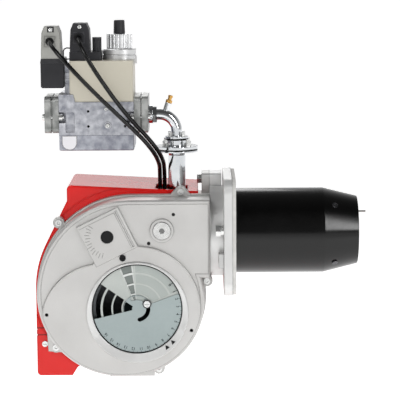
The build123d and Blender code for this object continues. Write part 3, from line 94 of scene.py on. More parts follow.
class Finish:
    """A material with one shader, to which nodes are added for what varies over the surface."""

    def __init__(self, name, **constants):
        self.material = bpy.data.materials.new(name)
        self.material.use_nodes = True
        self.tree = self.material.node_tree
        self.shader = self.tree.nodes["Principled BSDF"]
        for socket, value in constants.items():
            self.shader.inputs[socket.replace("_", " ").title().replace("Ior", "IOR")].default_value = value
        self.place = self.add("ShaderNodeTexCoord", output="Object")

    def add(self, kind, settings=None, inputs=None, output=0):
        """Adds a node with its settings and the values or links of its sockets."""
        node = self.tree.nodes.new(kind)
        for name, setting in (settings or {}).items():
            setattr(node, name, setting)
        for key, value in (inputs or {}).items():
            if isinstance(value, Value):
                self.tree.links.new(value.socket, node.inputs[key])
            else:
                node.inputs[key].default_value = value
        return Value(self, node.outputs[output])

    def along(self, axis):
        """The place along one axis, in metres."""
        return self.add("ShaderNodeSeparateXYZ", {}, {0: self.place}, axis)

    def noise(self, per_metre, detail=3.0, stretch=None):
        """Cloudy variation between 0 and 1, with so many clouds to the metre."""
        place = self.place
        if stretch:
            place = self.add("ShaderNodeVectorMath", {"operation": "MULTIPLY"}, {0: place, 1: stretch})
        return self.add("ShaderNodeTexNoise", {}, {"Vector": place, "Scale": per_metre, "Detail": detail})

    def spread(self, value, low, high, to_low=0.0, to_high=1.0):
        """Stretches the values between low and high over a new range, and cuts off the rest."""
        ends = {"Value": value, "From Min": low, "From Max": high, "To Min": to_low, "To Max": to_high}
        return self.add("ShaderNodeMapRange", {}, ends)

    def within(self, value, low, high):
        """A mask of the values between low and high."""
        return (value > low) * (value < high)

    def from_axis(self, x, z):
        """The distance from an axis along Y."""
        across, up = self.along("X") - x, self.along("Z") - z
        return self.add("ShaderNodeMath", {"operation": "SQRT"}, {0: across * across + up * up})

    def mix(self, factor, low, high):
        """A colour between two others."""
        return self.add("ShaderNodeMix", {"data_type": "RGBA"}, {0: factor, 6: low, 7: high}, output=2)

    def rounded(self, radius):
        """The normal, with every edge rounded off."""
        return self.add("ShaderNodeBevel", {"samples": 6}, {"Radius": radius})

    def edges(self, reach):
        """A mask of the strips along the edges."""
        flat = self.add("ShaderNodeNewGeometry", output="True Normal")
        inputs = {0: self.rounded(reach), 1: flat}
        same = self.add("ShaderNodeVectorMath", {"operation": "DOT_PRODUCT"}, inputs, output="Value")
        return self.spread(1 - same, 0.01, 0.22)

    def feed(self, socket, value):
        """Leads a value to the shader."""
        self.tree.links.new(value.socket, self.shader.inputs[socket])

    def relief(self, height, depth, strength=1.0, rounding=0.0):
        """Raises the surface where height is high, and rounds off the edges' shading."""
        inputs = {"Height": height, "Distance": depth, "Strength": strength}
        if rounding:
            inputs["Normal"] = self.rounded(rounding)
        self.feed("Normal", self.add("ShaderNodeBump", {}, inputs))


def tone(red, green, blue):
    """A colour from its screen values, 0 to 255."""
    return (*((part / 255) ** 2.2 for part in (red, green, blue)), 1.0)


def mottled(name, light, dark, metallic, rough, clouds, grain, depth, rounding, even=0.25, edge_shade=0.0, **constants):
    """A finish that wanders between two tones, with a fine grain, a varying gloss and painted shade along its edges."""
    finish = Finish(name, metallic=metallic, **constants)
    cloud = finish.spread(finish.noise(clouds, 5.0), 0.5 - even, 0.5 + even)
    fine = finish.noise(grain, 2.0)
    finish.colour = finish.mix(cloud * 0.7 + fine * 0.3, tone(*dark), tone(*light))
    # Painted shade: the strips along the edges are darkened towards a deeper copy of the dark tone.
    if edge_shade:
        shade = tone(*(0.62 * part for part in dark))
        finish.colour = finish.mix(finish.edges(rounding) * edge_shade, finish.colour, shade)
    finish.feed("Base Color", finish.colour)
    finish.feed("Roughness", rough + (cloud - 0.5) * 0.10 + (fine - 0.5) * 0.12)
    finish.relief(fine, depth, rounding=rounding)
    return finish


def dress(finish, *nodes):
    """Gives a finish to CAD nodes."""
    for name in nodes:
        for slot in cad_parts[name].material_slots:
            slot.material = finish.material


sheath = mottled("sheath", (14, 14, 15), (5, 5, 6), 0.0, 0.24, 60, 900, 0.00002, 0.0, specular_ior_level=0.35)
lead_across = 0.006


def lay_lead(name, node, route):
    """A lead along its route, which stands for the CAD lead."""
    curve = bpy.data.curves.new(name, "CURVE")
    curve.dimensions = "3D"
    curve.bevel_depth = lead_across / 2
    curve.bevel_resolution = 6
    curve.resolution_u = 10
    curve.use_fill_caps = True
    spline = curve.splines.new("NURBS")
    spline.points.add(len(route) - 1)
    for point, place in zip(spline.points, route):
        point.co = (*place, 1)
    spline.order_u = 3
    spline.use_endpoint_u = True
    lead = bpy.data.objects.new(name, curve)
    bpy.context.scene.collection.objects.link(lead)
    curve.materials.append(sheath.material)
    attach(lead, "burner")
    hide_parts(node)


switch_route = [
    (-0.2510, -0.022, 0.270), (-0.2510, -0.044, 0.270), (-0.2390, -0.060, 0.2565), (-0.2155, -0.066, 0.231),
    (-0.1878, -0.064, 0.2015), (-0.1583, -0.061, 0.1725), (-0.1365, -0.056, 0.151), (-0.1195, -0.047, 0.1325),
    (-0.1068, -0.031, 0.1135), (-0.1017, -0.008, 0.098), (-0.1013, 0.015, 0.088), (-0.1013, 0.028, 0.074),
    (-0.1013, 0.028, 0.055),
]
coil_route = [
    (-0.2110, -0.022, 0.275), (-0.2110, -0.042, 0.275), (-0.2033, -0.056, 0.2585), (-0.1882, -0.060, 0.233),
    (-0.1688, -0.058, 0.2035), (-0.1511, -0.0545, 0.1785), (-0.1333, -0.048, 0.1565), (-0.1160, -0.040, 0.137),
    (-0.1020, -0.026, 0.117), (-0.0958, -0.005, 0.101), (-0.0949, 0.0165, 0.089), (-0.0947, 0.028, 0.0745),
    (-0.0947, 0.028, 0.055),
]
lay_lead("switch_lead_sheath", "switch_lead", switch_route)
lay_lead("coil_lead_sheath", "coil_lead", coil_route)

# ---- Cast housing ------------------------------------------------------------------------------
# Two pressure die-cast aluminium halves, shot-blasted to a fine even grain, with the neck
# and the flange cast the same way. Shade is painted along the edges and in the blind holes.
cast = mottled("cast_aluminium", (207, 206, 204), (185, 184, 182), 0.65, 0.40, 14, 1500, 0.00012, 0.0015, edge_shade=1.0)
blind_holes = [(-0.0813, 0.0336), (-0.1157, -0.0064), (-0.2580, -0.1052), (-0.0575, -0.1285)]
# Painted shade: the mouths of the blind holes are coloured near black.
for x, z in blind_holes:
    hole_mouth_shade = (cast.from_axis(x, z) < 0.00225) * (cast.along("Y") < -0.066)
    cast.colour = cast.mix(hole_mouth_shade, cast.colour, tone(38, 38, 38))
cast.feed("Base Color", cast.colour)
fan_x, fan_z = -0.1326, -0.098
intake_radius = 0.064
# Painted shade: the casing's inside, seen through the intake, is coloured near black.
inside = (cast.from_axis(fan_x, fan_z) < intake_radius + 0.0002) * (cast.along("Y") > -0.0705)
cast.feed("Base Color", cast.mix(inside, cast.colour, tone(30, 32, 32)))
dress(cast, "front_housing", "rear_housing")
# Painted light: the neck and flange get a paler copy of the casting's finish, with painted shade along its edges.
neck_cast = mottled("neck_casting_painted_light", (222, 222, 221), (198, 198, 197), 0.6, 0.38, 20, 1300, 0.00012, 0.0016, edge_shade=0.85)
dress(neck_cast, "flange_neck", "mounting_flange")


def lay_bead(name, finish, thick, points, closed=False):
    """A thin rounded ridge along a line of points, half sunk in what it runs over."""
    curve = bpy.data.curves.new(name, "CURVE")
    curve.dimensions = "3D"
    curve.bevel_depth = thick / 2
    curve.bevel_resolution = 3
    curve.use_fill_caps = True
    spline = curve.splines.new("POLY")
    spline.points.add(len(points) - 1)
    for point, place in zip(spline.points, points):
        point.co = (*place, 1)
    spline.use_cyclic_u = closed
    bead = bpy.data.objects.new(name, curve)
    bpy.context.scene.collection.objects.link(bead)
    bpy.context.view_layer.objects.active = bead
    bead.select_set(True)
    bpy.ops.object.convert(target="MESH")
    bpy.ops.object.shade_smooth()
    bead.data.materials.append(finish.material)
    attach(bead, "burner")
    bpy.ops.object.select_all(action="DESELECT")
    return bead


# The front half's draft ends in a raised line that follows the scroll inside its rim.
face_front = -0.0711
line_inset = 0.0082
over_x, scroll_z, over_radius = -0.1402, -0.078, 0.134
under_x, under_radius = -0.1556, 0.1186
corner_x, corner_z, corner_radius = -0.1466, -0.0866, 0.110
outlet_end, casing_top, outlet_low = -0.0335, 0.056, -0.058


def arc_points(x, z, radius, start, end, count=24):
    """Points of an arc about an axis along Y; angles in degrees from +X."""
    turns = (radians(start + (end - start) * step / count) for step in range(count + 1))
    return [(x + radius * cos(turn), face_front, z + radius * sin(turn)) for turn in turns]


rise = asin((outlet_low + line_inset - corner_z) / (corner_radius - line_inset)) * 180 / pi
scroll_line = [
    (outlet_end, face_front, casing_top - line_inset),
    *arc_points(over_x, scroll_z, over_radius - line_inset, 90, 180),
    *arc_points(under_x, scroll_z, under_radius - line_inset, 184, 266),
    *arc_points(corner_x, corner_z, corner_radius - line_inset, 270, 360 + rise),
    (outlet_end, face_front, outlet_low + line_inset),
]
lay_bead("scroll_line", cast, 0.0012, scroll_line, closed=True)

# The bowl and the field beside it end in a raised rounded edge, where the front steps down.
bowl_front = -0.0750
bowl_radius = 0.0872
field_x, field_z, field_radius = -0.1814, -0.1193, 0.0843
bowl_edge = arc_points(fan_x, fan_z, bowl_radius, 104, 6)
field_edge = arc_points(field_x, field_z, field_radius, 98, 163)
for name, edge in (("bowl_edge", bowl_edge), ("field_edge", field_edge)):
    lay_bead(name, cast, 0.0020, [(x, bowl_front, z) for x, face, z in edge])

# The square boss on the front has a raised border on two sides and a fan of short raised marks
# beside its plug, all cast in one with the housing.
boss_x, boss_z, boss_turn, boss_front = -0.1728, 0.0034, radians(26.1), -0.076


def on_boss(right, up):
    """A point of the square boss, measured from its middle along its own sides."""
    x = boss_x + right * cos(boss_turn) - up * sin(boss_turn)
    return (x, boss_front, boss_z + right * sin(boss_turn) + up * cos(boss_turn))


border = [on_boss(-0.0300, 0.0262), on_boss(0.0236, 0.0262), on_boss(0.0236, -0.0285)]
lay_bead("boss_border", cast, 0.0010, border)


def round_bar(name, finish, place, turn, long, wide, thick):
    """A raised mark on a face across Y, with its edges rounded; turn is its angle from +X."""
    bpy.ops.mesh.primitive_cube_add(size=1, location=place, rotation=(0, -turn, 0), scale=(long, thick, wide))
    mark = bpy.context.object
    mark.name = name
    bpy.ops.object.transform_apply(location=True, rotation=True, scale=True)
    bpy.ops.object.mode_set(mode="EDIT")
    bpy.ops.mesh.select_all(action="SELECT")
    bpy.ops.mesh.bevel(offset=min(wide, thick) * 0.3, segments=1)
    bpy.ops.object.mode_set(mode="OBJECT")
    mark.data.materials.append(finish.material)
    bpy.ops.object.select_all(action="DESELECT")
    return mark


def joined(name, marks, body):
    """One piece made of several, which rides on a body."""
    for mark in marks:
        mark.select_set(True)
    bpy.context.view_layer.objects.active = marks[0]
    bpy.ops.object.join()
    piece = bpy.context.object
    piece.name = name
    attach(piece, body)
    bpy.ops.object.select_all(action="DESELECT")
    return piece


boss_marks = []
for count in range(13):
    turn = radians(148 + 9 * count)
    reach = 0.0265 + 0.0015 * (count % 2)
    place = (boss_x + reach * cos(turn), boss_front, boss_z + reach * sin(turn))
    boss_marks.append(round_bar(f"boss_mark_{count}", cast, place, turn, 0.0070, 0.0008, 0.0004))
joined("boss_marks", boss_marks, "burner")

# ---- Intake plate ------------------------------------------------------------------------------
# The fixed plate behind the dial is pressed zinc sheet. Blind windows are pressed into it in
# rings about the fan axis, with a ladder of four at its top, and coloured darker as painted shade. Its rim is painted
# dark as shade.
plate = mottled("intake_plate", (192, 196, 192), (160, 166, 162), 0.6, 0.36, 22, 700, 0.00006, 0.0004)
radius = plate.from_axis(fan_x, fan_z)
angle = plate.add("ShaderNodeMath", {"operation": "ARCTAN2"}, {0: plate.along("Z") - fan_z, 1: plate.along("X") - fan_x})
window_rings = [(0.0098, 0.0197), (0.0218, 0.0337), (0.0360, 0.0480), (0.0510, 0.0620)]
rings = sum((plate.within(radius, inner, outer) for inner, outer in window_rings), start=radius * 0.0)
right_windows = rings * plate.within(angle, radians(24), radians(92))
ladder = plate.within(angle, radians(95.5), radians(113.5)) * (radius > 0.0098)
ladder_windows = rings * plate.within(angle, radians(97.5), radians(111.5))
rim = radius > 0.0624
# Painted shade: the windows are coloured darker and the rim near black.
plate.colour = plate.mix(right_windows * 0.5, plate.colour, tone(148, 156, 153))
plate.colour = plate.mix(ladder * 0.6, plate.colour, tone(226, 228, 226))
plate.colour = plate.mix(ladder_windows, plate.colour, tone(120, 126, 123))
plate.colour = plate.mix(rim, plate.colour, tone(46, 50, 50))
plate.feed("Base Color", plate.colour)
plate.feed("Metallic", (1 - rim) * 0.5)
plate.relief((1 - right_windows) * 0.4 + (1 - ladder_windows) * 0.6, 0.0005, rounding=0.0004)
dress(plate, "inlet_grille")

# ---- Damper dial -------------------------------------------------------------------------------
# The turning disc is zinc-plated sheet with a dull grey-green passivation. Its scale is
# stamped in and filled with dark paint, so it turns with the disc.
dial = mottled("dial_zinc", (164, 175, 175), (145, 156, 156), 0.55, 0.36, 12, 240, 0.00003, 0.0003, 0.3)
rolled = dial.noise(60, 4.0, stretch=(1.0, 1.0, 18.0))
dial.feed("Roughness", dial.spread(rolled, 0.3, 0.7, 0.32, 0.44))
dial_radius = dial.from_axis(fan_x, fan_z)
dial_angle = dial.add("ShaderNodeMath", {"operation": "ARCTAN2"}, {0: dial.along("Z") - fan_z, 1: dial.along("X") - fan_x})
# Painted shade: a black field on the hub stands for the shade in the innermost window, and turns with the disc.
inner_window_shade = dial.within(dial_radius, 0.0070, 0.0185) * ((dial_angle > radians(147)) + (dial_angle < radians(-166)))
dial.feed("Base Color", dial.mix(inner_window_shade, dial.colour, tone(16, 20, 20)))
dial.feed("Metallic", inner_window_shade * 0.45 + 0.55)
dress(dial, "damper_disc")

ink = mottled("scale_ink", (44, 52, 56), (24, 30, 34), 0.0, 0.6, 300, 2500, 0.00002, 0.0, specular_ior_level=0.2)
dial_front = -0.0728
number_ring = 0.0563
number_size = 0.0054
number_step = radians(-11)
number_first = radians(36)
number_count = 17
scale_edge = 0.0612
scale_marks = []


def on_dial(radius, turn):
    """A point on the dial's face, at an angle from +X seen from the front."""
    return Vector((fan_x + radius * cos(turn), dial_front - 0.00002, fan_z + radius * sin(turn)))


for count in range(number_count):
    turn = number_first + count * number_step
    bpy.ops.object.text_add(location=on_dial(number_ring, turn), rotation=(pi / 2, pi / 2 - turn, 0))
    text = bpy.context.object
    text.data.body = str(count)
    text.data.size = number_size
    text.data.align_x = "CENTER"
    text.data.align_y = "CENTER"
    text.data.extrude = 0.00004
    text.data.offset = 0.00008
    bpy.ops.object.convert(target="MESH")
    bpy.ops.object.transform_apply(location=True, rotation=True, scale=True)
    number = bpy.context.object
    number.name = f"dial_number_{count}"
    number.data.materials.clear()
    number.data.materials.append(ink.material)
    scale_marks.append(number)
    bpy.ops.object.select_all(action="DESELECT")

for count in range(2 * number_count - 1):
    turn = number_first + count * number_step / 2
    reach = 0.0021 if count % 2 == 0 else 0.0012
    place = on_dial(scale_edge - reach / 2, turn)
    scale_marks.append(round_bar(f"dial_tick_{count}", ink, place, turn, reach, 0.0005, 0.0001))
joined("dial_scale", scale_marks, "damper")

# ---- Intake bezel ------------------------------------------------------------------------------
# A turned aluminium ring round the dial, whose face slopes in like a shallow funnel. The funnel
# is set off downwards, so it is wide below and narrow above. A black ring over the dial's edge is painted shadow for
# the gap round it.
black_film_and_gap_shadow = mottled("black_film_and_gap_shadow", (28, 28, 30), (16, 16, 18), 0.0, 0.5, 200, 2000, 0.00002, 0.0, specular_ior_level=0.2)


def spun_ring(name, finish, profile, set_off=(0, 0, 0), beyond=0.066):
    """A ring about the fan axis, spun from its section's corners: radius, and place along Y."""
    bpy.ops.mesh.primitive_circle_add(vertices=len(profile), fill_type="NOTHING")
    ring = bpy.context.object
    ring.name = name
    for vertex, (radius, y) in zip(ring.data.vertices, profile):
        vertex.co = (fan_x + radius, y, fan_z)
    bpy.ops.object.mode_set(mode="EDIT")
    bpy.ops.mesh.select_all(action="SELECT")
    bpy.ops.mesh.spin(steps=144, angle=2 * pi, center=(fan_x, 0, fan_z), axis=(0, 1, 0))
    bpy.ops.mesh.select_all(action="SELECT")
    bpy.ops.mesh.remove_doubles(threshold=0.000001)
    bpy.ops.mesh.normals_make_consistent(inside=False)
    bpy.ops.object.mode_set(mode="OBJECT")
    for vertex in ring.data.vertices:
        if hypot(vertex.co.x - fan_x, vertex.co.z - fan_z) > beyond:
            vertex.co += Vector(set_off)
    bpy.ops.object.shade_smooth_by_angle(angle=radians(20))
    ring.data.materials.append(finish.material)
    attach(ring, "burner")
    bpy.ops.object.select_all(action="DESELECT")


bezel_inner, bezel_outer = 0.0628, 0.0707
slope_start, slope_end = (0.0643, -0.0752), (0.0694, -0.0779)
bezel_section = [
    (bezel_inner, -0.0731), (bezel_inner, -0.0742), (0.0631, -0.0749), (0.0636, -0.0752), slope_start,
    slope_end, (0.0700, -0.0779), (bezel_outer, -0.0771), (bezel_outer, -0.0748), (0.0655, -0.0731),
]
turned = mottled("turned_aluminium", (222, 222, 221), (204, 204, 203), 0.5, 0.38, 40, 1500, 0.00006, 0.0007, edge_shade=1.0)
spun_ring("intake_bezel", turned, bezel_section, set_off=(0.0004, 0, -0.0046))
# Painted shadow: a black ring over the dial's edge stands for the dark gap round the dial.
gap_shadow_section = [(0.0613, -0.0731), (0.0613, -0.0735), (0.0628, -0.0737), (0.0628, -0.0731)]
spun_ring("dial_gap_shadow", black_film_and_gap_shadow, gap_shadow_section)

# ---- Dial pointers -----------------------------------------------------------------------------
# Two small black arrowheads, cut from film and stuck on the bevel beside the dial, that the
# scale is read against. They lie on the cone of the bevel.
pointer_tip, pointer_back, pointer_half = 0.0640, 0.0698, 0.0033


def cut_pointer(name, turn):
    """An arrowhead that points at the dial."""
    bpy.ops.mesh.primitive_circle_add(vertices=3, radius=1, fill_type="NGON")
    pointer = bpy.context.object
    pointer.name = name
    outward = Vector((cos(turn), 0, sin(turn)))
    sideways = Vector((-sin(turn), 0, cos(turn)))
    middle = Vector((fan_x, slope_start[1] - 0.0004, fan_z))
    back = middle + outward * pointer_back + Vector((0, -0.0018, 0))
    corners = [middle + outward * pointer_tip, back - sideways * pointer_half, back + sideways * pointer_half]
    for vertex, corner in zip(pointer.data.vertices, corners):
        vertex.co = corner
    bpy.ops.object.mode_set(mode="EDIT")
    bpy.ops.mesh.select_all(action="SELECT")
    bpy.ops.mesh.extrude_region_move(TRANSFORM_OT_translate={"value": (0, 0.0002, 0)})
    bpy.ops.mesh.select_all(action="SELECT")
    bpy.ops.mesh.normals_make_consistent(inside=False)
    bpy.ops.object.mode_set(mode="OBJECT")
    pointer.data.materials.append(black_film_and_gap_shadow.material)
    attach(pointer, "burner")
    bpy.ops.object.select_all(action="DESELECT")


cut_pointer("dial_pointer", radians(-43.5))
cut_pointer("setting_pointer", radians(-52.8))

# ---- Fasteners ---------------------------------------------------------------------------------
# Bright zinc-plated screws, bolts and the threaded plug in the casing. The plating is thin
# and even, with slight rub marks on the heads, and the damper's screw sits on a black washer.
plated = mottled("bright_zinc", (232, 232, 230), (190, 192, 192), 0.9, 0.22, 180, 2400, 0.00004, 0.0003, edge_shade=0.8)
dress(plated, "housing_screws", "neck_hinge_bolt", "flange_clamp_bolts", "hood_screws", "union_bolts",
      "elbow_bolts", "valve_flange_screws", "motor_shaft")
lock = mottled("lock_screw_zinc", (236, 236, 234), (200, 202, 202), 0.8, 0.24, 180, 2400, 0.00004, 0.0003, edge_shade=0.8)
washer = lock.from_axis(-0.11888, -0.09101) > 0.00462
lock.feed("Base Color", lock.mix(washer, lock.colour, tone(44, 46, 48)))
lock.feed("Metallic", (1 - washer) * 0.8)
dress(lock, "damper_lock_screw")
plug_metal = mottled("plug_zinc", (226, 226, 224), (188, 188, 187), 0.85, 0.24, 120, 1500, 0.00006, 0.0007, edge_shade=1.0)
# Painted shade: the socket in the middle of the plug is coloured darker.
socket = plug_metal.from_axis(-0.0974, 0.0113) < 0.0034
plug_metal.feed("Base Color", plug_metal.mix(socket, plug_metal.colour, tone(120, 120, 119)))
dress(plug_metal, "port_plug")
blackened = mottled("blackened_steel", (110, 110, 113), (50, 50, 53), 0.9, 0.26, 200, 2000, 0.00004, 0.0003)
dress(blackened, "blast_tube_screws")

# ---- Black mouldings ---------------------------------------------------------------------------
# Glass-filled nylon and rubber pieces: the plugs of the casing, the switch box, the plug base
# and the caps. Their dull texture comes from the mould, and their edges are rubbed paler.
black_nylon = mottled("black_nylon", (46, 46, 49), (32, 32, 35), 0.0, 0.42, 40, 1900, 0.00006, 0.0008, specular_ior_level=0.35)
worn = black_nylon.edges(0.0007)
black_nylon.feed("Base Color", black_nylon.mix(worn * 0.6, black_nylon.colour, tone(104, 104, 108)))
dress(black_nylon, "coil_connector", "connector_base", "ribbed_cap", "switch_body", "switch_lid", "knob_cap")
black_rubber = mottled("black_rubber", (26, 26, 27), (13, 13, 14), 0.0, 0.5, 90, 1500, 0.00008, 0.0004, specular_ior_level=0.25)
dress(black_rubber, "servo_opening_plug", "tap_screw", "cable_glands", "cable_grommet", "riser_gasket", "upper_gasket")
grey_nylon = mottled("grey_nylon", (160, 160, 155), (138, 138, 134), 0.0, 0.44, 40, 1900, 0.00006, 0.0010, edge_shade=0.9)
# Painted shade: the notch round the plug's screw is coloured near black.
notch_shade = grey_nylon.within(grey_nylon.along("X"), -0.2546, -0.2450) * (grey_nylon.along("Z") > 0.2826)
notch_shade = notch_shade * (grey_nylon.along("Y") < -0.0200)
grey_nylon.feed("Base Color", grey_nylon.mix(notch_shade, grey_nylon.colour, tone(34, 34, 34)))
dress(grey_nylon, "switch_connector")
white_nylon = mottled("white_nylon", (226, 225, 228), (212, 211, 215), 0.0, 0.42, 60, 1500, 0.00004, 0.0012, edge_shade=1.0)
dress(white_nylon, "vent_cap")

# ---- Hood --------------------------------------------------------------------------------------
# A vacuum-formed cover in glossy signal red, with softly rounded edges and a faint ripple
# where the sheet was drawn. Two narrow ledges cross its lower left corner, with shade painted along them.
red = mottled("signal_red", (226, 24, 18), (212, 18, 13), 0.0, 0.20, 9, 260, 0.00010, 0.0050, specular_ior_level=0.42)
low_left = red.along("X") < -0.2585
ledges = sum((red.within(red.along("Z"), z - 0.0009, z + 0.0009) for z in (-0.1355, -0.1455)), start=low_left * 0.0)
ledges = ledges * low_left
# Painted shade: dark red lines run along the two ledges.
red.feed("Base Color", red.mix(ledges * 0.8, red.colour, tone(120, 14, 10)))
red.feed("Roughness", red.noise(8, 2.0) * 0.06 + 0.16)
red.relief(red.noise(20, 2.0) * 0.2 + (1 - ledges) * 1.0, 0.0009, rounding=0.0050)
dress(red, "hood")

# ---- Blast tube --------------------------------------------------------------------------------
# Rolled steel tube with a turned-in cone, sprayed with gloss black heat-resisting paint.
# The paint has a light orange-peel texture.
gloss_black = mottled("gloss_black", (7, 7, 7), (3, 3, 3), 0.0, 0.18, 20, 420, 0.00002, 0.0008, specular_ior_level=0.38)
dress(gloss_black, "blast_tube")

# ---- Combustion head ---------------------------------------------------------------------------
# Stainless sheet and tube that has seen the flame: straw and blue tints over a dull scale.
# The electrodes are glazed alumina with bright wire ends.
heat = mottled("heat_steel", (150, 142, 132), (96, 88, 84), 0.9, 0.42, 45, 900, 0.00008, 0.0004)
tint = heat.spread(heat.noise(30, 4.0), 0.35, 0.65)
heat.feed("Base Color", heat.mix(tint, tone(104, 98, 104), tone(168, 150, 122)))
dress(heat, "diffuser_disc", "gas_head", "inner_gas_pipe", "electrode_bracket")
alumina = mottled("alumina", (238, 234, 222), (220, 214, 200), 0.0, 0.24, 90, 900, 0.00003, 0.0004)
wire = alumina.along("X") > 0.1262
alumina.feed("Base Color", alumina.mix(wire, alumina.colour, tone(150, 146, 142)))
alumina.feed("Metallic", wire * 0.9)
dress(alumina, "ignition_electrode", "ionisation_probe")

# ---- Fan wheel and motor -----------------------------------------------------------------------
# The wheel is galvanised sheet with its spangle, coloured dark as painted shade for the unlit
# inside of the casing. The motor is finned aluminium under a satin charcoal paint.
spangled = mottled("spangled_zinc_painted_shade", (110, 112, 114), (74, 78, 80), 0.6, 0.5, 160, 1200, 0.00004, 0.0003, 0.12)
dress(spangled, "impeller")
charcoal = mottled("charcoal_paint", (62, 63, 66), (46, 47, 50), 0.1, 0.42, 40, 900, 0.00010, 0.0008)
dress(charcoal, "motor_body", "motor_end_cap")

# ---- Gasket ------------------------------------------------------------------------------------
# Pressed mineral-fibre board behind the flange. Short fibres lie across its faces and edges.
board = mottled("gasket_board", (214, 213, 210), (184, 183, 180), 0.0, 0.85, 90, 700, 0.00020, 0.0006)
fibre = board.noise(500, 3.0, stretch=(1.0, 0.25, 3.0))
board.relief(fibre, 0.0004, rounding=0.0006)
dress(board, "flange_gasket")

# ---- Gas pipe ----------------------------------------------------------------------------------
# Steel pipe, discs and union nut in polished bright chrome. A few soft ripples and wipe
# marks are left by the polishing, and shade is painted along the edges and in the joints.
chrome = mottled("bright_chrome", (234, 236, 238), (196, 200, 204), 1.0, 0.11, 60, 500, 0.00004, 0.0011, edge_shade=1.0)
dress(chrome, "gas_riser", "union_flange", "elbow_flange", "elbow_pipe", "union_nut")
brass = mottled("turned_brass", (222, 176, 104), (186, 134, 64), 0.9, 0.26, 150, 1600, 0.00004, 0.0003, edge_shade=0.6)
dress(brass, "test_nipple")

# ---- Valve body --------------------------------------------------------------------------------
# Zinc pressure casting, bare. The metal froze in bluish and pale patches, with painted shade
# in the screw holes in its front and a small plated screw in the round boss.
zinc = mottled("zinc_casting", (212, 213, 218), (122, 125, 136), 0.6, 0.34, 105, 1300, 0.00010, 0.0010, 0.19, edge_shade=0.95)
# Painted shade: the mouths of four screw holes are coloured near black.
for x, z in ((-0.199, 0.173), (-0.199, 0.152), (-0.148, 0.152), (-0.148, 0.173)):
    hole_mouth_shade = (zinc.from_axis(x, z) < 0.0018) * zinc.within(zinc.along("Y"), -0.0285, -0.0235)
    zinc.colour = zinc.mix(hole_mouth_shade, zinc.colour, tone(30, 30, 32))
zinc.feed("Base Color", zinc.colour)
dress(zinc, "valve_block", "switch_base")
cover_zinc = mottled("cover_zinc", (190, 192, 200), (112, 115, 127), 0.6, 0.34, 80, 1300, 0.00010, 0.0010, 0.16, edge_shade=1.0)
dress(cover_zinc, "valve_lower_cover")
dull_zinc = mottled("flange_zinc", (182, 183, 181), (118, 120, 118), 0.6, 0.36, 70, 1300, 0.00010, 0.0012, 0.12, edge_shade=1.0)
dress(dull_zinc, "valve_inlet_flange", "valve_outlet_flange")
beige = mottled("beige_enamel", (192, 187, 172), (184, 179, 164), 0.0, 0.36, 20, 800, 0.00006, 0.0010, edge_shade=0.35)
dress(beige, "coil_housing")
satin = mottled("satin_nickel", (230, 230, 230), (208, 209, 210), 0.7, 0.40, 60, 1600, 0.00002, 0.0008, edge_shade=0.8)
dress(satin, "regulator_ring")
knurled = mottled("knurled_nickel", (244, 244, 244), (214, 216, 218), 0.8, 0.28, 60, 1600, 0.00002, 0.0005, edge_shade=1.0)
dress(knurled, "regulator_knob")


def pan_head(name, place, radius, height, way):
    """A domed screw head with a round socket, whose top faces along way."""
    way = Vector(way)
    turn = Vector((0, 0, 1)).rotation_difference(way).to_euler()
    bpy.ops.mesh.primitive_cylinder_add(vertices=28, radius=radius, depth=height, location=place, rotation=turn)
    head = bpy.context.object
    head.name = name
    bpy.ops.object.transform_apply(location=True, rotation=True, scale=True)
    bpy.context.tool_settings.mesh_select_mode = (False, False, True)
    for face in head.data.polygons:
        face.select = face.normal.dot(way) > 0.9
    bpy.ops.object.mode_set(mode="EDIT")
    bpy.ops.mesh.inset(thickness=radius * 0.25)
    bpy.ops.transform.translate(value=way * height * 0.4)
    bpy.ops.mesh.inset(thickness=radius * 0.3)
    bpy.ops.mesh.extrude_region_move(TRANSFORM_OT_translate={"value": -way * height * 0.7})
    bpy.ops.object.mode_set(mode="OBJECT")
    head.data.materials.append(plated.material)
    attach(head, "burner")
    bpy.ops.object.select_all(action="DESELECT")


pan_head("boss_screw", (-0.172, -0.0296, 0.153), 0.0034, 0.0016, (0, -1, 0))
pan_head("upper_boss_screw", (-0.174, -0.0294, 0.1765), 0.0025, 0.0012, (0, -1, 0))
pan_head("coil_plug_screw", (-0.2095, -0.0222, 0.2900), 0.0030, 0.0018, (0, -0.95, 0.31))
pan_head("switch_plug_screw", (-0.2498, -0.0222, 0.2862), 0.0030, 0.0018, (0, -0.95, 0.31))

# Each plug has a square moulded collar round its gland.
collar_half = 0.0074
for name, finish, slot, (x, z) in (
    ("coil_plug_collar", black_nylon, "black_plastic", (-0.2110, 0.275)),
    ("switch_plug_collar", grey_nylon, "grey_plastic", (-0.2510, 0.270)),
):
    sides = ((-1, -1), (1, -1), (1, 1), (-1, 1))
    collar = [(x + right * collar_half, -0.0221, z + up * collar_half) for right, up in sides]
    lay_bead(name, finish, 0.0013, collar, closed=True)

# A bent wire clip beside the coil's plug holds it down on its base.
clip_line = [
    (-0.2240, -0.012, 0.2450), (-0.2315, -0.012, 0.2450), (-0.2332, -0.012, 0.2470), (-0.2332, -0.012, 0.2560),
    (-0.2318, -0.012, 0.2590), (-0.2285, -0.012, 0.2605), (-0.2230, -0.012, 0.2600),
]
lay_bead("plug_clip", black_nylon, 0.0019, clip_line)

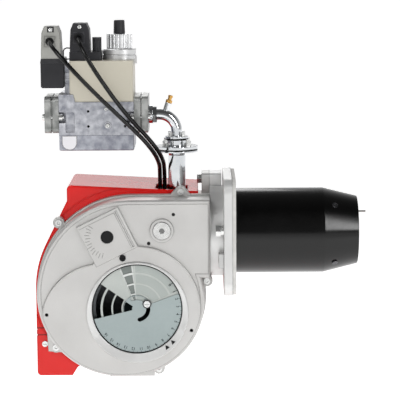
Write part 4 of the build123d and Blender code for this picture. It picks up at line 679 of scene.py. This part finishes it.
# ---- Studio ------------------------------------------------------------------------------------
# A wide white floor well below the burner, which hangs by its flange. The air is bright behind
# the burner and dim before it, and large soft lights stand above, left, right and behind.
bpy.ops.mesh.primitive_plane_add(size=80, location=(0, 20, -0.45))
floor = bpy.context.object
floor.name = "studio_floor"
bpy.ops.object.transform_apply(location=True, rotation=True, scale=True)
pale = Finish("studio_pale", base_color=(0.9, 0.9, 0.9, 1), roughness=0.9, emission_color=(1, 1, 1, 1), emission_strength=0.80)
floor.data.materials.append(pale.material)

world = bpy.data.worlds.new("studio_air")
bpy.context.scene.world = world
world.use_nodes = True
air = world.node_tree
place = air.nodes.new("ShaderNodeTexCoord")
parts = air.nodes.new("ShaderNodeSeparateXYZ")
fade = air.nodes.new("ShaderNodeMapRange")
for key, value in {"From Min": -0.6, "From Max": 0.8, "To Min": 0.20, "To Max": 0.74}.items():
    fade.inputs[key].default_value = value
dim_above = air.nodes.new("ShaderNodeMapRange")
for key, value in {"From Min": 0.25, "From Max": 0.85, "To Min": 1.0, "To Max": 0.25}.items():
    dim_above.inputs[key].default_value = value
both = air.nodes.new("ShaderNodeMath")
both.operation = "MULTIPLY"
air.links.new(place.outputs["Generated"], parts.inputs[0])
air.links.new(parts.outputs["Y"], fade.inputs["Value"])
air.links.new(parts.outputs["Z"], dim_above.inputs["Value"])
air.links.new(fade.outputs[0], both.inputs[0])
air.links.new(dim_above.outputs[0], both.inputs[1])
air.links.new(both.outputs[0], air.nodes["Background"].inputs["Strength"])
air.nodes["Background"].inputs["Color"].default_value = (1, 1, 1, 1)


def soft_light(name, place, wide, high, watts):
    """A rectangular soft box that faces the burner."""
    light = bpy.data.lights.new(name, "AREA")
    light.shape = "RECTANGLE"
    light.size = wide
    light.size_y = high
    light.energy = watts
    lamp = bpy.data.objects.new(name, light)
    lamp.location = place
    lamp.rotation_euler = (camera_target - Vector(place)).to_track_quat("-Z", "Y").to_euler()
    bpy.context.scene.collection.objects.link(lamp)


soft_light("key", (-1.1, -1.9, 1.5), 0.9, 0.9, 20)
soft_light("side", (0.95, -1.3, 0.80), 0.24, 1.3, 11)
soft_light("top", (-1.0, 0.3, 2.0), 1.1, 1.0, 8)
soft_light("rear", (-0.6, 2.2, 1.2), 1.6, 1.2, 12)
